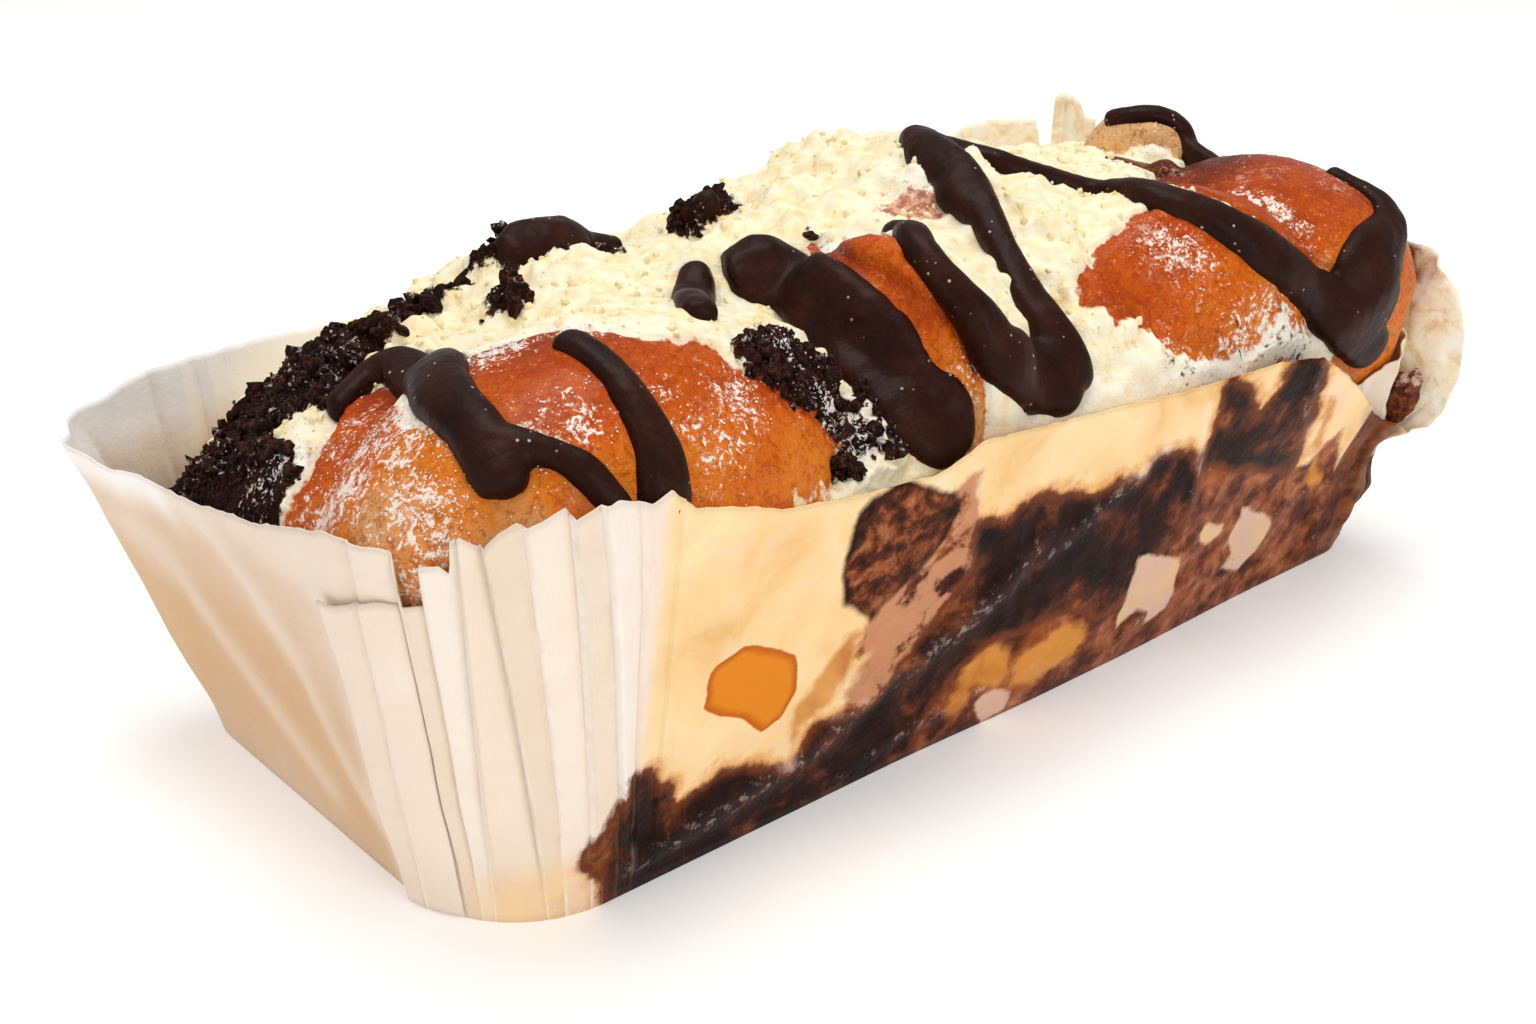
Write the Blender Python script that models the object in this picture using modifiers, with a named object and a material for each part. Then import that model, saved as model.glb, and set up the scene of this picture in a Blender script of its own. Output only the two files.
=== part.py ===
"""Chocolate babka loaf in its pleated greaseproof paper case.

Metres, +Z up. The case stands on Z = 0, +X runs along the loaf to its far end and -Y is its
long front side. The origin is in the middle of the whole outline, on the surface it stands on.
"""
import math

import bmesh
import bpy
from mathutils import Vector, noise
from mathutils.bvhtree import BVHTree

# Base of the paper case, a rectangle with rounded corners
NEAR_END = -0.090
FAR_END = 0.099
HALF_WIDTH = 0.040
NEAR_FRONT_RADIUS = 0.019
NEAR_BACK_RADIUS = 0.008
FAR_RADIUS = 0.009
LENGTH = FAR_END - NEAR_END
WIDTH = 2 * HALF_WIDTH

# How far each wall leans out for each metre that it rises
LEAN_NEAR = 0.187
LEAN_FAR = 0.08
LEAN_FRONT = 0.19
LEAN_BACK = 0.23

# Paper
PAPER = 0.0005
GAP = 0.00035
WAIST = 0.022
PLEAT_PITCH = 0.0046
PLEAT_VALLEY = 0.7
PLEAT_DEPTH = 0.0013
PLEATS_ALONG_SIDE = 0.026
PLEATS_ALONG_END = 0.012
COLUMN_PITCH = 0.0055
COLUMN_NEAREST = 0.0003
CASE_LEVELS = (0.0, 0.2, 0.45, 0.7, 0.86, 1.0)

# Swelling of the front wall: how far, then where along the loaf it begins and ends
FRONT_BULGE = 0.0018
BULGE_BEGINS = (-0.020, 0.015)
BULGE_ENDS = (0.070, 0.030)

# Rim of the case, wall by wall: distance from the wall's first corner, how far the rim is
# folded out beyond the wall's lean, and its height
RIM_FRONT = (
    (0.000, 0.000, 0.0620), (0.005, 0.000, 0.0640), (0.011, 0.000, 0.0650), (0.014, 0.000, 0.0660),
    (0.017, 0.000, 0.0645), (0.021, 0.000, 0.0650), (0.026, 0.000, 0.0610), (0.034, 0.000, 0.0585),
    (0.042, 0.000, 0.0555), (0.053, 0.000, 0.0535), (0.069, 0.001, 0.0525), (0.077, 0.001, 0.0555),
    (0.099, 0.001, 0.0528), (0.121, 0.001, 0.0506), (0.141, 0.003, 0.0505), (0.152, 0.004, 0.0490),
    (0.161, 0.004, 0.0434), (0.170, 0.003, 0.0370), (0.177, 0.002, 0.0310), (0.1823, 0.002, 0.0270),
    (0.1846, 0.0055, 0.0262), (0.1856, 0.009, 0.0255), (0.1861, 0.0105, 0.0320), (0.1865, 0.0095, 0.0410),
    (0.1873, 0.0065, 0.0490), (0.1884, 0.0035, 0.0530),
)
RIM_FAR = (
    (0.0012, 0.004, 0.0555), (0.0032, 0.0025, 0.0560), (0.009, 0.001, 0.0560), (0.040, 0.000, 0.0580),
    (0.069, 0.000, 0.0575), (0.0750, 0.000, 0.0560), (0.0754, 0.000, 0.0650), (0.0772, 0.000, 0.0672),
    (0.0789, 0.000, 0.0660), (0.0794, 0.000, 0.0540),
)
RIM_BACK = (
    (0.0008, 0.000, 0.0510), (0.0025, 0.000, 0.0590), (0.010, 0.000, 0.0587), (0.022, 0.000, 0.0575),
    (0.060, 0.000, 0.0550), (0.100, 0.000, 0.0540), (0.150, 0.000, 0.0530), (0.168, 0.000, 0.0540),
    (0.180, 0.001, 0.0530), (0.185, 0.004, 0.0510), (0.188, 0.0075, 0.0490),
)
RIM_NEAR = (
    (0.002, 0.0065, 0.0480), (0.006, 0.003, 0.0482), (0.012, 0.000, 0.0485), (0.030, 0.000, 0.0505),
    (0.046, 0.000, 0.0535), (0.058, 0.000, 0.0580), (0.0675, 0.000, 0.0600), (0.0680, 0.000, 0.0510),
    (0.0725, 0.000, 0.0505), (0.0730, 0.000, 0.0600), (0.077, 0.000, 0.0610),
)

# Loaf: the crown line along the top, then the edge that it falls to
CROWN = (
    (-0.096, 0.066), (-0.070, 0.068), (-0.054, 0.0645), (-0.040, 0.070), (-0.014, 0.0665), (0.000, 0.0705),
    (0.014, 0.073), (0.025, 0.079), (0.042, 0.0735), (0.060, 0.071), (0.080, 0.067), (0.100, 0.066),
)
EDGE_NEAR = 0.049
EDGE_FAR = 0.046
EDGE_CHANGE = (-0.020, 0.060)
ACROSS_POWER = 2.3
ACROSS_ROUNDNESS = 0.62
ALONG_POWER = 9
ALONG_ROUNDNESS = 0.5
RIM_LEVEL = 0.064
NEAR_TOP = -0.0973
FAR_TOP = 0.1020
FRONT_TOP = -0.0485
BACK_TOP = 0.0505
LOAF_CELLS_LONG = 50
LOAF_CELLS_ACROSS = 26
LOAF_WALL_LEVELS = 3

# Slopes that the near end falls by: how far, then where each begins and ends along and across
NEAR_SLOPES = (
    (0.018, (-0.050, -0.098), (0.000, 0.042)),
    (0.004, (-0.072, -0.100), (-0.012, 0.014)),
)

# Relief of the torn crumb: depth and size of its lumps, and where it fades out on a strand
CRAG_DEPTH = 0.0020
CRAG_SIZE = 0.0065
FINE_CRAG_SHARE = 0.5
FINE_CRAG_SCALE = 2.1
STRAND_MARGIN = (-0.001, 0.0015)

# Twisted strands of dough that stand above the crumb: middle, half sizes, turn, top and foot
STRANDS = {
    "near": ((-0.060, -0.027), (0.041, 0.025), 6, 0.0765, 0.046),
    "middle": ((-0.009, -0.029), (0.020, 0.010), -70, 0.078, 0.050),
    "right": ((0.047, -0.029), (0.030, 0.018), -14, 0.0735, 0.050),
    "far": ((0.080, -0.025), (0.024, 0.026), -20, 0.0712, 0.046),
    "far_shoulder": ((0.088, -0.036), (0.014, 0.014), 0, 0.0665, 0.044),
    "back": ((0.088, 0.008), (0.013, 0.014), 20, 0.0725, 0.046),
}
STRAND_POWER = 2.3
BLEND = 0.002

# Lumps of chocolate filling on the torn crumb: place, radius and how far each one stands up
LUMPS = (
    (-0.0715, 0.0100, 0.0055, 0.0030), (-0.0530, 0.0235, 0.0060, 0.0025), (-0.0485, 0.0115, 0.0045, 0.0020),
    (-0.0035, 0.0210, 0.0050, 0.0030), (0.0750, -0.0110, 0.0060, 0.0020),
)

# Bands of chocolate icing: points along each one on the loaf in plan, with its width there
BANDS = {
    "near_fork_long": (
        (-0.083, -0.001, 0.008), (-0.077, -0.003, 0.010), (-0.077, -0.012, 0.011), (-0.082, -0.024, 0.011),
        (-0.0845, -0.034, 0.011), (-0.0845, -0.041, 0.010),
    ),
    "near_fork_short": ((-0.087, -0.0385, 0.008), (-0.080, -0.042, 0.009), (-0.073, -0.0475, 0.008)),
    "near_cross": (
        (-0.064, -0.027, 0.006), (-0.0655, -0.033, 0.008), (-0.0655, -0.039, 0.009), (-0.065, -0.0435, 0.010),
        (-0.0645, -0.0485, 0.010),
    ),
    "stub": ((-0.033, -0.010, 0.007), (-0.037, -0.016, 0.008), (-0.041, -0.022, 0.007)),
    "broad": (
        (-0.0175, -0.001, 0.012), (-0.0165, -0.012, 0.015), (-0.018, -0.025, 0.016), (-0.017, -0.035, 0.017),
        (-0.0150, -0.042, 0.016), (-0.0135, -0.0470, 0.014),
    ),
    "valley_down": (
        (0.005, -0.013, 0.008), (-0.004, -0.025, 0.009), (-0.0105, -0.036, 0.009), (-0.0095, -0.042, 0.010),
        (-0.003, -0.0455, 0.011), (0.004, -0.0462, 0.012), (0.011, -0.0460, 0.011),
    ),
    "valley_up": (
        (0.0095, -0.0475, 0.010), (0.0097, -0.040, 0.010), (0.0100, -0.034, 0.009), (0.0118, -0.027, 0.010),
        (0.016, -0.018, 0.012), (0.019, -0.012, 0.012), (0.021, -0.004, 0.011), (0.022, 0.004, 0.009),
    ),
    "sweep": (
        (0.022, 0.002, 0.008), (0.025, -0.008, 0.010), (0.033, -0.019, 0.011), (0.040, -0.029, 0.012),
        (0.045, -0.037, 0.013), (0.051, -0.0425, 0.014), (0.060, -0.0455, 0.015), (0.070, -0.0465, 0.016),
        (0.079, -0.0465, 0.017), (0.088, -0.0465, 0.016),
    ),
    "sweep_end": (
        (0.084, -0.0475, 0.013), (0.0925, -0.0460, 0.014), (0.0965, -0.0405, 0.013), (0.0955, -0.034, 0.012),
        (0.0915, -0.029, 0.010), (0.087, -0.027, 0.008),
    ),
    "far_end": ((0.083, 0.012, 0.006), (0.086, 0.006, 0.008), (0.088, -0.001, 0.008), (0.086, -0.009, 0.006)),
    "back_ridge": (
        (-0.045, 0.020, 0.008), (-0.038, 0.023, 0.011), (-0.029, 0.023, 0.011), (-0.022, 0.021, 0.007),
    ),
}
BAND_RISE = 0.0030
BAND_SINK = 0.0004
BAND_ROOT = 0.0022
BAND_STEP = 0.0055
BAND_DIP = 0.0025
BAND_ROUND_RINGS = 1.6
BAND_END_WIDTH = 0.45
BAND_END_RISE = 0.5
BAND_SECTION = ((-0.85, -1), (-1, 0), (-0.65, 0.8), (0, 1), (0.65, 0.8), (1, 0), (0.85, -1))

# Loose lump of chocolate filling that lies in the folded-out corner of the case
LOOSE_PLACE = (0.0970, -0.0470, 0.0320)
LOOSE_RADII = (0.0034, 0.0036, 0.0052)
LOOSE_TILT = (0.35, 0.25, 0.5)
LOOSE_LUMPS = 0.18
LOOSE_LUMP_SCALE = 1.7

# Highest place over the loaf, from which the icing is laid down on it
ABOVE = 0.2
NEARLY_NOTHING = 1e-6
SHARP_FOLD = math.radians(35)


def clamp(value, low=0.0, high=1.0):
    return max(low, min(high, value))


def smooth_step(start, end, value):
    t = clamp((value - start) / (end - start))
    return t * t * (3 - 2 * t)


def smooth_max(a, b, width):
    h = clamp(0.5 + 0.5 * (a - b) / width)
    return b * (1 - h) + a * h + width * h * (1 - h)


def read_table(table, key):
    """Row of values at a key, straight between the table's rows."""
    if key <= table[0][0]:
        return table[0][1:]
    for low, high in zip(table, table[1:]):
        if key <= high[0]:
            t = (key - low[0]) / (high[0] - low[0])
            return tuple(a + (b - a) * t for a, b in zip(low[1:], high[1:]))
    return table[-1][1:]


def rounded_base(x, y):
    """Point of the rounded base and its outward direction, for a point on the sharp rectangle."""
    near_radius = NEAR_FRONT_RADIUS if y < 0 else NEAR_BACK_RADIUS
    radius = near_radius if x < 0 else FAR_RADIUS
    middle_x = clamp(x, NEAR_END + radius, FAR_END - radius)
    middle_y = clamp(y, radius - HALF_WIDTH, HALF_WIDTH - radius)
    outward = Vector((x - middle_x, y - middle_y)).normalized()
    return Vector((middle_x, middle_y)) + outward * radius, outward


def lean(outward):
    """Lean of the wall that faces this way, mixed between two walls at a corner."""
    end = LEAN_FAR if outward.x > 0 else LEAN_NEAR
    side = LEAN_BACK if outward.y > 0 else LEAN_FRONT
    return end * outward.x ** 2 + side * outward.y ** 2


def walk(distance):
    """Point on the sharp rectangle after a walk from the near front corner."""
    distance %= 2 * (LENGTH + WIDTH)
    if distance < LENGTH:
        return NEAR_END + distance, -HALF_WIDTH
    distance -= LENGTH
    if distance < WIDTH:
        return FAR_END, distance - HALF_WIDTH
    distance -= WIDTH
    if distance < LENGTH:
        return FAR_END - distance, HALF_WIDTH
    return NEAR_END, HALF_WIDTH - (distance - LENGTH)


def whole_rim():
    """Rim rows all round, keyed by the walk from the near front corner."""
    rows = []
    start = 0.0
    for wall, length in ((RIM_FRONT, LENGTH), (RIM_FAR, WIDTH), (RIM_BACK, LENGTH), (RIM_NEAR, WIDTH)):
        rows += [(start + distance, out, height) for distance, out, height in wall]
        start += length
    rows.append((start, *rows[0][1:]))
    return rows


def pleat_zones():
    """Stretches of the walk that are pleated, round each corner."""
    around = 2 * (LENGTH + WIDTH)
    zones = []
    corners = ((0.0, True), (LENGTH, False), (LENGTH + WIDTH, True), (2 * LENGTH + WIDTH, False))
    for corner, side_follows in corners:
        before = PLEATS_ALONG_END if side_follows else PLEATS_ALONG_SIDE
        after = PLEATS_ALONG_SIDE if side_follows else PLEATS_ALONG_END
        zones.append((corner - before, corner + after))
        zones.append((corner - before + around, corner + after + around))
    return zones


def pleat(distance, zones):
    """Outward push of the knife pleats at this place of the walk."""
    for start, end in zones:
        if start < distance < end:
            part = (distance - start) / PLEAT_PITCH % 1
            fade = min(1.0, (distance - start) / PLEAT_PITCH, (end - distance) / PLEAT_PITCH)
            if part < PLEAT_VALLEY:
                return PLEAT_DEPTH * fade * (1 - part / PLEAT_VALLEY)
            return PLEAT_DEPTH * fade * (part - PLEAT_VALLEY) / (1 - PLEAT_VALLEY)
    return 0.0


def case_columns(rim, zones):
    """Places of the walk that get a column of paper: rim rows, pleat folds and a filling between."""
    around = 2 * (LENGTH + WIDTH)
    places = {round(row[0] % around, 5) for row in rim}
    for start, end in zones:
        count = int((end - start) / PLEAT_PITCH)
        for i in range(count + 1):
            for part in (0.0, PLEAT_VALLEY):
                place = start + (i + part) * PLEAT_PITCH
                if 0 <= place < around and place < end:
                    places.add(round(place, 5))
    kept = []
    for place in sorted(places):
        if not kept or place - kept[-1] > COLUMN_NEAREST:
            kept.append(place)
    filled = []
    for place, after in zip(kept, kept[1:] + [around]):
        steps = max(1, math.ceil((after - place) / COLUMN_PITCH - 0.2))
        filled += [place + (after - place) * i / steps for i in range(steps)]
    return filled


def case_point(distance, part, rim, zones):
    """Point of the case's outer face, from the base (part 0) to the rim (part 1)."""
    base, outward = rounded_base(*walk(distance))
    folded_out, height = read_table(rim, distance)
    z = height * part
    waist = WAIST if base.x > 0 else 0.0
    fold = max(0.0, (z - waist) / (height - waist))
    bulge = FRONT_BULGE * smooth_step(*BULGE_BEGINS, base.x) * smooth_step(*BULGE_ENDS, base.x)
    bulge *= max(0.0, -outward.y) ** 4 * math.sin(math.pi * clamp(part + 0.15))
    out = lean(outward) * z + folded_out * fold + pleat(distance, zones) * part + bulge
    plan = base + outward * out
    return Vector((plan.x, plan.y, z))


def make_paper_case(collection, material):
    rim = whole_rim()
    zones = pleat_zones()
    columns = case_columns(rim, zones)
    bm = bmesh.new()
    ring = bmesh.ops.create_circle(bm, cap_ends=True, segments=len(columns), radius=1.0)["verts"]
    ring = sorted(ring, key=lambda v: math.atan2(v.co.y, v.co.x) % (2 * math.pi))
    for vert, place in zip(ring, columns):
        vert.co = case_point(place, 0.0, rim, zones)
    edges = [e for e in bm.edges if e.is_boundary]
    below = ring
    for part in CASE_LEVELS[1:]:
        made = bmesh.ops.extrude_edge_only(bm, edges=edges)["geom"]
        edges = [g for g in made if isinstance(g, bmesh.types.BMEdge) and g.is_boundary]
        verts = {g for g in made if isinstance(g, bmesh.types.BMVert)}
        above = [next(e.other_vert(v) for e in v.link_edges if e.other_vert(v) in verts) for v in below]
        for vert, place in zip(above, columns):
            vert.co = case_point(place, part, rim, zones)
        below = above
    bmesh.ops.recalc_face_normals(bm, faces=bm.faces)
    bmesh.ops.triangulate(bm, faces=bm.faces)
    if min(bm.faces, key=lambda f: f.calc_center_median().z).normal.z > 0:
        bmesh.ops.reverse_faces(bm, faces=bm.faces)
    case = add_object("paper_case", bm, collection, material)
    solid = case.modifiers.new("Paper thickness", "SOLIDIFY")
    solid.thickness = PAPER
    solid.offset = -1
    return case


def strand_height(x, y, strand):
    """Height of one rounded strand of dough, or -1 off it."""
    (cx, cy), (long, short), turn, top, foot = strand
    a = math.radians(turn)
    s = (x - cx) * math.cos(a) + (y - cy) * math.sin(a)
    t = (y - cy) * math.cos(a) - (x - cx) * math.sin(a)
    r = abs(s / long) ** STRAND_POWER + abs(t / short) ** STRAND_POWER
    if r >= 1:
        return -1.0
    return foot + (top - foot) * math.sqrt(1 - r)


def crumb_height(x, y):
    """Torn crumb under the strands: a crown line that falls to the edges."""
    along = clamp(x / NEAR_TOP if x < 0 else x / FAR_TOP)
    across = clamp(y / FRONT_TOP if y < 0 else y / BACK_TOP)
    crown = read_table(CROWN, x)[0]
    edge = EDGE_NEAR + (EDGE_FAR - EDGE_NEAR) * smooth_step(*EDGE_CHANGE, x)
    fall = (1 - across ** ACROSS_POWER) ** ACROSS_ROUNDNESS * (1 - along ** ALONG_POWER) ** ALONG_ROUNDNESS
    height = edge + (crown - edge) * fall
    for slope, along_loaf, across_loaf in NEAR_SLOPES:
        height -= slope * smooth_step(*along_loaf, x) * smooth_step(*across_loaf, y)
    return height


def loaf_height(x, y):
    height = crumb_height(x, y)
    for strand in STRANDS.values():
        height = smooth_max(height, strand_height(x, y, strand), BLEND)
    return height


def strand_share(x, y):
    """1 on a smooth strand of dough, 0 on torn crumb."""
    best = max(strand_height(x, y, strand) for strand in STRANDS.values())
    return smooth_step(*STRAND_MARGIN, best - crumb_height(x, y))


def crumb_relief(x, y):
    """Lumps of torn crumb, none on the strands."""
    spot = Vector((x, y, 0.0)) / CRAG_SIZE
    crags = CRAG_DEPTH * (noise.noise(spot) + FINE_CRAG_SHARE * noise.noise(spot * FINE_CRAG_SCALE))
    for lump_x, lump_y, radius, rise in LUMPS:
        reach = math.hypot(x - lump_x, y - lump_y) / radius
        crags += rise * smooth_step(1.0, 0.4, reach)
    return crags * (1 - strand_share(x, y))


def loaf_edge(u, v):
    """Outline of the loaf's top in the direction (u, v) of the unit square, with its height."""
    x = (NEAR_END + FAR_END) / 2 + u * LENGTH / 2
    base, outward = rounded_base(x, v * HALF_WIDTH)
    height = EDGE_NEAR
    for _ in range(4):
        plan = base + outward * (lean(outward) * height - PAPER - GAP)
        height = min((height + loaf_height(plan.x, plan.y)) / 2, RIM_LEVEL)
    plan = base + outward * (lean(outward) * height - PAPER - GAP)
    return base - outward * (PAPER + GAP), plan, height


def make_loaf(collection, material):
    bm = bmesh.new()
    bmesh.ops.create_grid(bm, x_segments=LOAF_CELLS_LONG, y_segments=LOAF_CELLS_ACROSS, size=1.0)
    feet = {}
    for vert in bm.verts:
        u, v = vert.co.x, vert.co.y
        ring = max(abs(u), abs(v))
        if ring < NEARLY_NOTHING:
            vert.co = (0.0, 0.0, loaf_height(0.0, 0.0))
            continue
        foot, plan, height = loaf_edge(u / ring, v / ring)
        x, y = plan.x * ring, plan.y * ring
        if ring < 1 - NEARLY_NOTHING:
            vert.co = (x, y, loaf_height(x, y) + crumb_relief(x, y))
        else:
            vert.co = (x, y, height)
            feet[vert] = (foot, vert.co.copy())
    edges = [e for e in bm.edges if e.is_boundary]
    below = feet
    for level in range(1, LOAF_WALL_LEVELS + 1):
        made = bmesh.ops.extrude_edge_only(bm, edges=edges)["geom"]
        edges = [g for g in made if isinstance(g, bmesh.types.BMEdge) and g.is_boundary]
        verts = {g for g in made if isinstance(g, bmesh.types.BMVert)}
        lower = {}
        for vert, (foot, top) in below.items():
            new = next(e.other_vert(vert) for e in vert.link_edges if e.other_vert(vert) in verts)
            base = Vector((foot.x, foot.y, PAPER + GAP))
            new.co = top.lerp(base, level / LOAF_WALL_LEVELS)
            lower[new] = (foot, top)
        below = lower
    bmesh.ops.holes_fill(bm, edges=edges, sides=0)
    bmesh.ops.recalc_face_normals(bm, faces=bm.faces)
    return add_object("loaf", bm, collection, material)


def band_path(points):
    """Points of a smooth curve through a band's own points, a few millimetres apart."""
    ends = [points[0], *points, points[-1]]
    path = []
    for i in range(len(points) - 1):
        a, b, c, d = (Vector(p) for p in ends[i:i + 4])
        steps = max(1, round((c - b).length / BAND_STEP))
        for j in range(steps):
            t = j / steps
            path.append(0.5 * (2 * b + (c - a) * t + (2 * a - 5 * b + 4 * c - d) * t ** 2
                               + (3 * b - a - 3 * c + d) * t ** 3))
    path.append(Vector(points[-1]))
    return path


def band_rings(points, surface):
    """Cross-sections of a band: corners across it, set on the loaf and rooted in it."""
    spots = []
    for x, y, width in band_path(points):
        spot, normal, _, _ = surface.ray_cast(Vector((x, y, ABOVE)), Vector((0, 0, -1)))
        spots.append((spot, normal, width))
    count = len(spots) - 1
    rings = []
    for i, (spot, normal, width) in enumerate(spots):
        low, high = max(i - 1, 0), min(i + 1, count)
        ahead = (spots[high][0] - spots[low][0]).normalized()
        facing = sum((spots[j][1] for j in range(low, high + 1)), Vector())
        across = facing.cross(ahead).normalized()
        end = clamp(min(i, count - i) / BAND_ROUND_RINGS)
        half = width / 2 * (BAND_END_WIDTH + (1 - BAND_END_WIDTH) * math.sqrt(1 - (1 - end) ** 2))
        full_rise = BAND_RISE * (BAND_END_RISE + (1 - BAND_END_RISE) * end)
        sides = [surface.find_nearest(spot + across * half * side)[1] for side in (-1, -0.5, 0, 0.5, 1)]
        facing = sum(sides, Vector())
        facing = (facing - ahead * facing.dot(ahead)).normalized()
        across = facing.cross(ahead).normalized()
        ring = []
        for side, level in BAND_SECTION:
            flat = spot + across * half * side
            dip = (surface.find_nearest(flat)[0] - flat).dot(facing)
            dip = clamp(dip, -BAND_DIP, BAND_DIP / 2)
            rise = level * full_rise if level > 0 else level * BAND_ROOT
            ring.append(flat + facing * (dip + rise - BAND_SINK))
        rings.append(ring)
    return rings


def make_band(name, points, surface, collection, material):
    """One band of icing: its first cross-section, carried on ring by ring."""
    rings = band_rings(points, surface)
    bm = bmesh.new()
    corners = bmesh.ops.create_circle(bm, cap_ends=True, segments=len(BAND_SECTION), radius=1.0)["verts"]
    corners.sort(key=lambda v: math.atan2(v.co.y, v.co.x) % (2 * math.pi))
    for vert, place in zip(corners, rings[0]):
        vert.co = place
    edges = bm.edges[:]
    for ring in rings[1:]:
        made = bmesh.ops.extrude_edge_only(bm, edges=edges)["geom"]
        new = {g for g in made if isinstance(g, bmesh.types.BMVert)}
        edges = [g for g in made if isinstance(g, bmesh.types.BMEdge) and new.issuperset(g.verts)]
        corners = [next(e.other_vert(v) for e in v.link_edges if e.other_vert(v) in new) for v in corners]
        for vert, place in zip(corners, ring):
            vert.co = place
    bmesh.ops.holes_fill(bm, edges=edges, sides=0)
    bmesh.ops.recalc_face_normals(bm, faces=bm.faces)
    return add_object(name, bm, collection, material)


def drop_scraps(mesh):
    """Keeps the largest closed body of a mesh, so that no hollow stays sealed inside it."""
    bm = bmesh.new()
    bm.from_mesh(mesh)
    left = set(bm.faces)
    bodies = []
    while left:
        body = set()
        found = {next(iter(left))}
        while found:
            body |= found
            found = {f for g in found for e in g.edges for f in e.link_faces} - body
        left -= body
        bodies.append(body)
    bodies.sort(key=len)
    scraps = [f for body in bodies[:-1] for f in body]
    bmesh.ops.delete(bm, geom=scraps, context="FACES")
    bm.to_mesh(mesh)
    bm.free()


def ice_loaf(loaf, material):
    """Bands of icing joined with the loaf into one body."""
    icing = bpy.data.collections.new("Icing")
    bpy.context.scene.collection.children.link(icing)
    surface = BVHTree.FromObject(loaf, bpy.context.evaluated_depsgraph_get())
    for name, points in BANDS.items():
        make_band(name, points, surface, icing, material)
    union = loaf.modifiers.new("Icing", "BOOLEAN")
    union.operation = "UNION"
    union.operand_type = "COLLECTION"
    union.collection = icing
    union.material_mode = "TRANSFER"
    mesh = bpy.data.meshes.new_from_object(loaf.evaluated_get(bpy.context.evaluated_depsgraph_get()))
    loaf.modifiers.clear()
    drop_scraps(mesh)
    loaf.data = mesh
    for band in list(icing.objects):
        bpy.data.objects.remove(band)
    bpy.data.collections.remove(icing)


def make_loose_crumb(collection, material):
    bm = bmesh.new()
    bmesh.ops.create_icosphere(bm, subdivisions=2, radius=1.0)
    for vert in bm.verts:
        lump = 1 + LOOSE_LUMPS * noise.noise(vert.co * LOOSE_LUMP_SCALE)
        vert.co = Vector(a * b for a, b in zip(vert.co, LOOSE_RADII)) * lump
    crumb = add_object("chocolate_crumb", bm, collection, material)
    crumb.location = LOOSE_PLACE
    crumb.rotation_euler = LOOSE_TILT
    return crumb


def make_material(name, colour, roughness):
    material = bpy.data.materials.new(name)
    material.use_nodes = True
    shader = material.node_tree.nodes["Principled BSDF"]
    shader.inputs["Base Color"].default_value = (*colour, 1.0)
    shader.inputs["Roughness"].default_value = roughness
    shader.inputs["Metallic"].default_value = 0.0
    return material


def add_object(name, bm, collection, material):
    mesh = bpy.data.meshes.new(name)
    bm.to_mesh(mesh)
    bm.free()
    mesh.materials.append(material)
    mesh.shade_smooth()
    mesh.set_sharp_from_angle(angle=SHARP_FOLD)
    obj = bpy.data.objects.new(name, mesh)
    collection.objects.link(obj)
    return obj


def centre_origin(objects):
    """Moves the objects so that the origin is in the middle of their outline in plan."""
    bpy.context.view_layer.update()
    depsgraph = bpy.context.evaluated_depsgraph_get()
    corners = []
    for obj in objects:
        corners += [obj.matrix_world @ Vector(c) for c in obj.evaluated_get(depsgraph).bound_box]
    middle_x = (min(c.x for c in corners) + max(c.x for c in corners)) / 2
    middle_y = (min(c.y for c in corners) + max(c.y for c in corners)) / 2
    for obj in objects:
        obj.location -= Vector((middle_x, middle_y, 0.0))
    bpy.context.view_layer.update()


def main():
    for obj in list(bpy.data.objects):
        bpy.data.objects.remove(obj, do_unlink=True)
    babka = bpy.data.collections.new("Babka")
    bpy.context.scene.collection.children.link(babka)
    crust = make_material("Baked crust", (0.42, 0.13, 0.03), 0.42)
    icing = make_material("Chocolate icing", (0.022, 0.012, 0.010), 0.38)
    paper = make_material("Greaseproof paper", (0.78, 0.66, 0.48), 0.55)
    crumb = make_material("Chocolate crumb", (0.085, 0.028, 0.014), 0.8)
    case = make_paper_case(babka, paper)
    loaf = make_loaf(babka, crust)
    ice_loaf(loaf, icing)
    loose = make_loose_crumb(babka, crumb)
    centre_origin((case, loaf, loose))


main()
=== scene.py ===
"""A chocolate babka in its pleated paper case, dressed for a picture.

The dough, the paper and the icing are shaped in millimetres from a point on the floor under the
loaf, and each piece is moved to the part's own origin as it is made. +X runs along the loaf to the
end with the folded-out corner, -Y is its long front side and +Z is up. Places on the case are often
given as a walk: millimetres round its base, on the sharp rectangle that its rounded corners fit in,
from the corner where the front wall and the near end meet.
"""
import math

import bmesh
import bpy
import numpy as np
from mathutils import Matrix, Vector, noise
from mathutils.bvhtree import BVHTree


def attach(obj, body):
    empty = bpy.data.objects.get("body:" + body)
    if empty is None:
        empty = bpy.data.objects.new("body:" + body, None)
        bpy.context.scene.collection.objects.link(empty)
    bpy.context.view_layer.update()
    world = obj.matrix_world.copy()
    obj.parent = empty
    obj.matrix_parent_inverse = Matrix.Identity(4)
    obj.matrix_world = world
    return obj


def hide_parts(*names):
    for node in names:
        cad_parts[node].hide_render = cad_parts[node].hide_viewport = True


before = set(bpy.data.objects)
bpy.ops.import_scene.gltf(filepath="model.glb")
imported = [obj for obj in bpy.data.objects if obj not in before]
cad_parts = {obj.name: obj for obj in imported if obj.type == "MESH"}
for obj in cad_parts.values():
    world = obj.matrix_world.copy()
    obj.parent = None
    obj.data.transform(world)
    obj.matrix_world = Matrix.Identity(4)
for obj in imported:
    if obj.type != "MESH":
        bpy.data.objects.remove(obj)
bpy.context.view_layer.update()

METRES = 0.001

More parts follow.
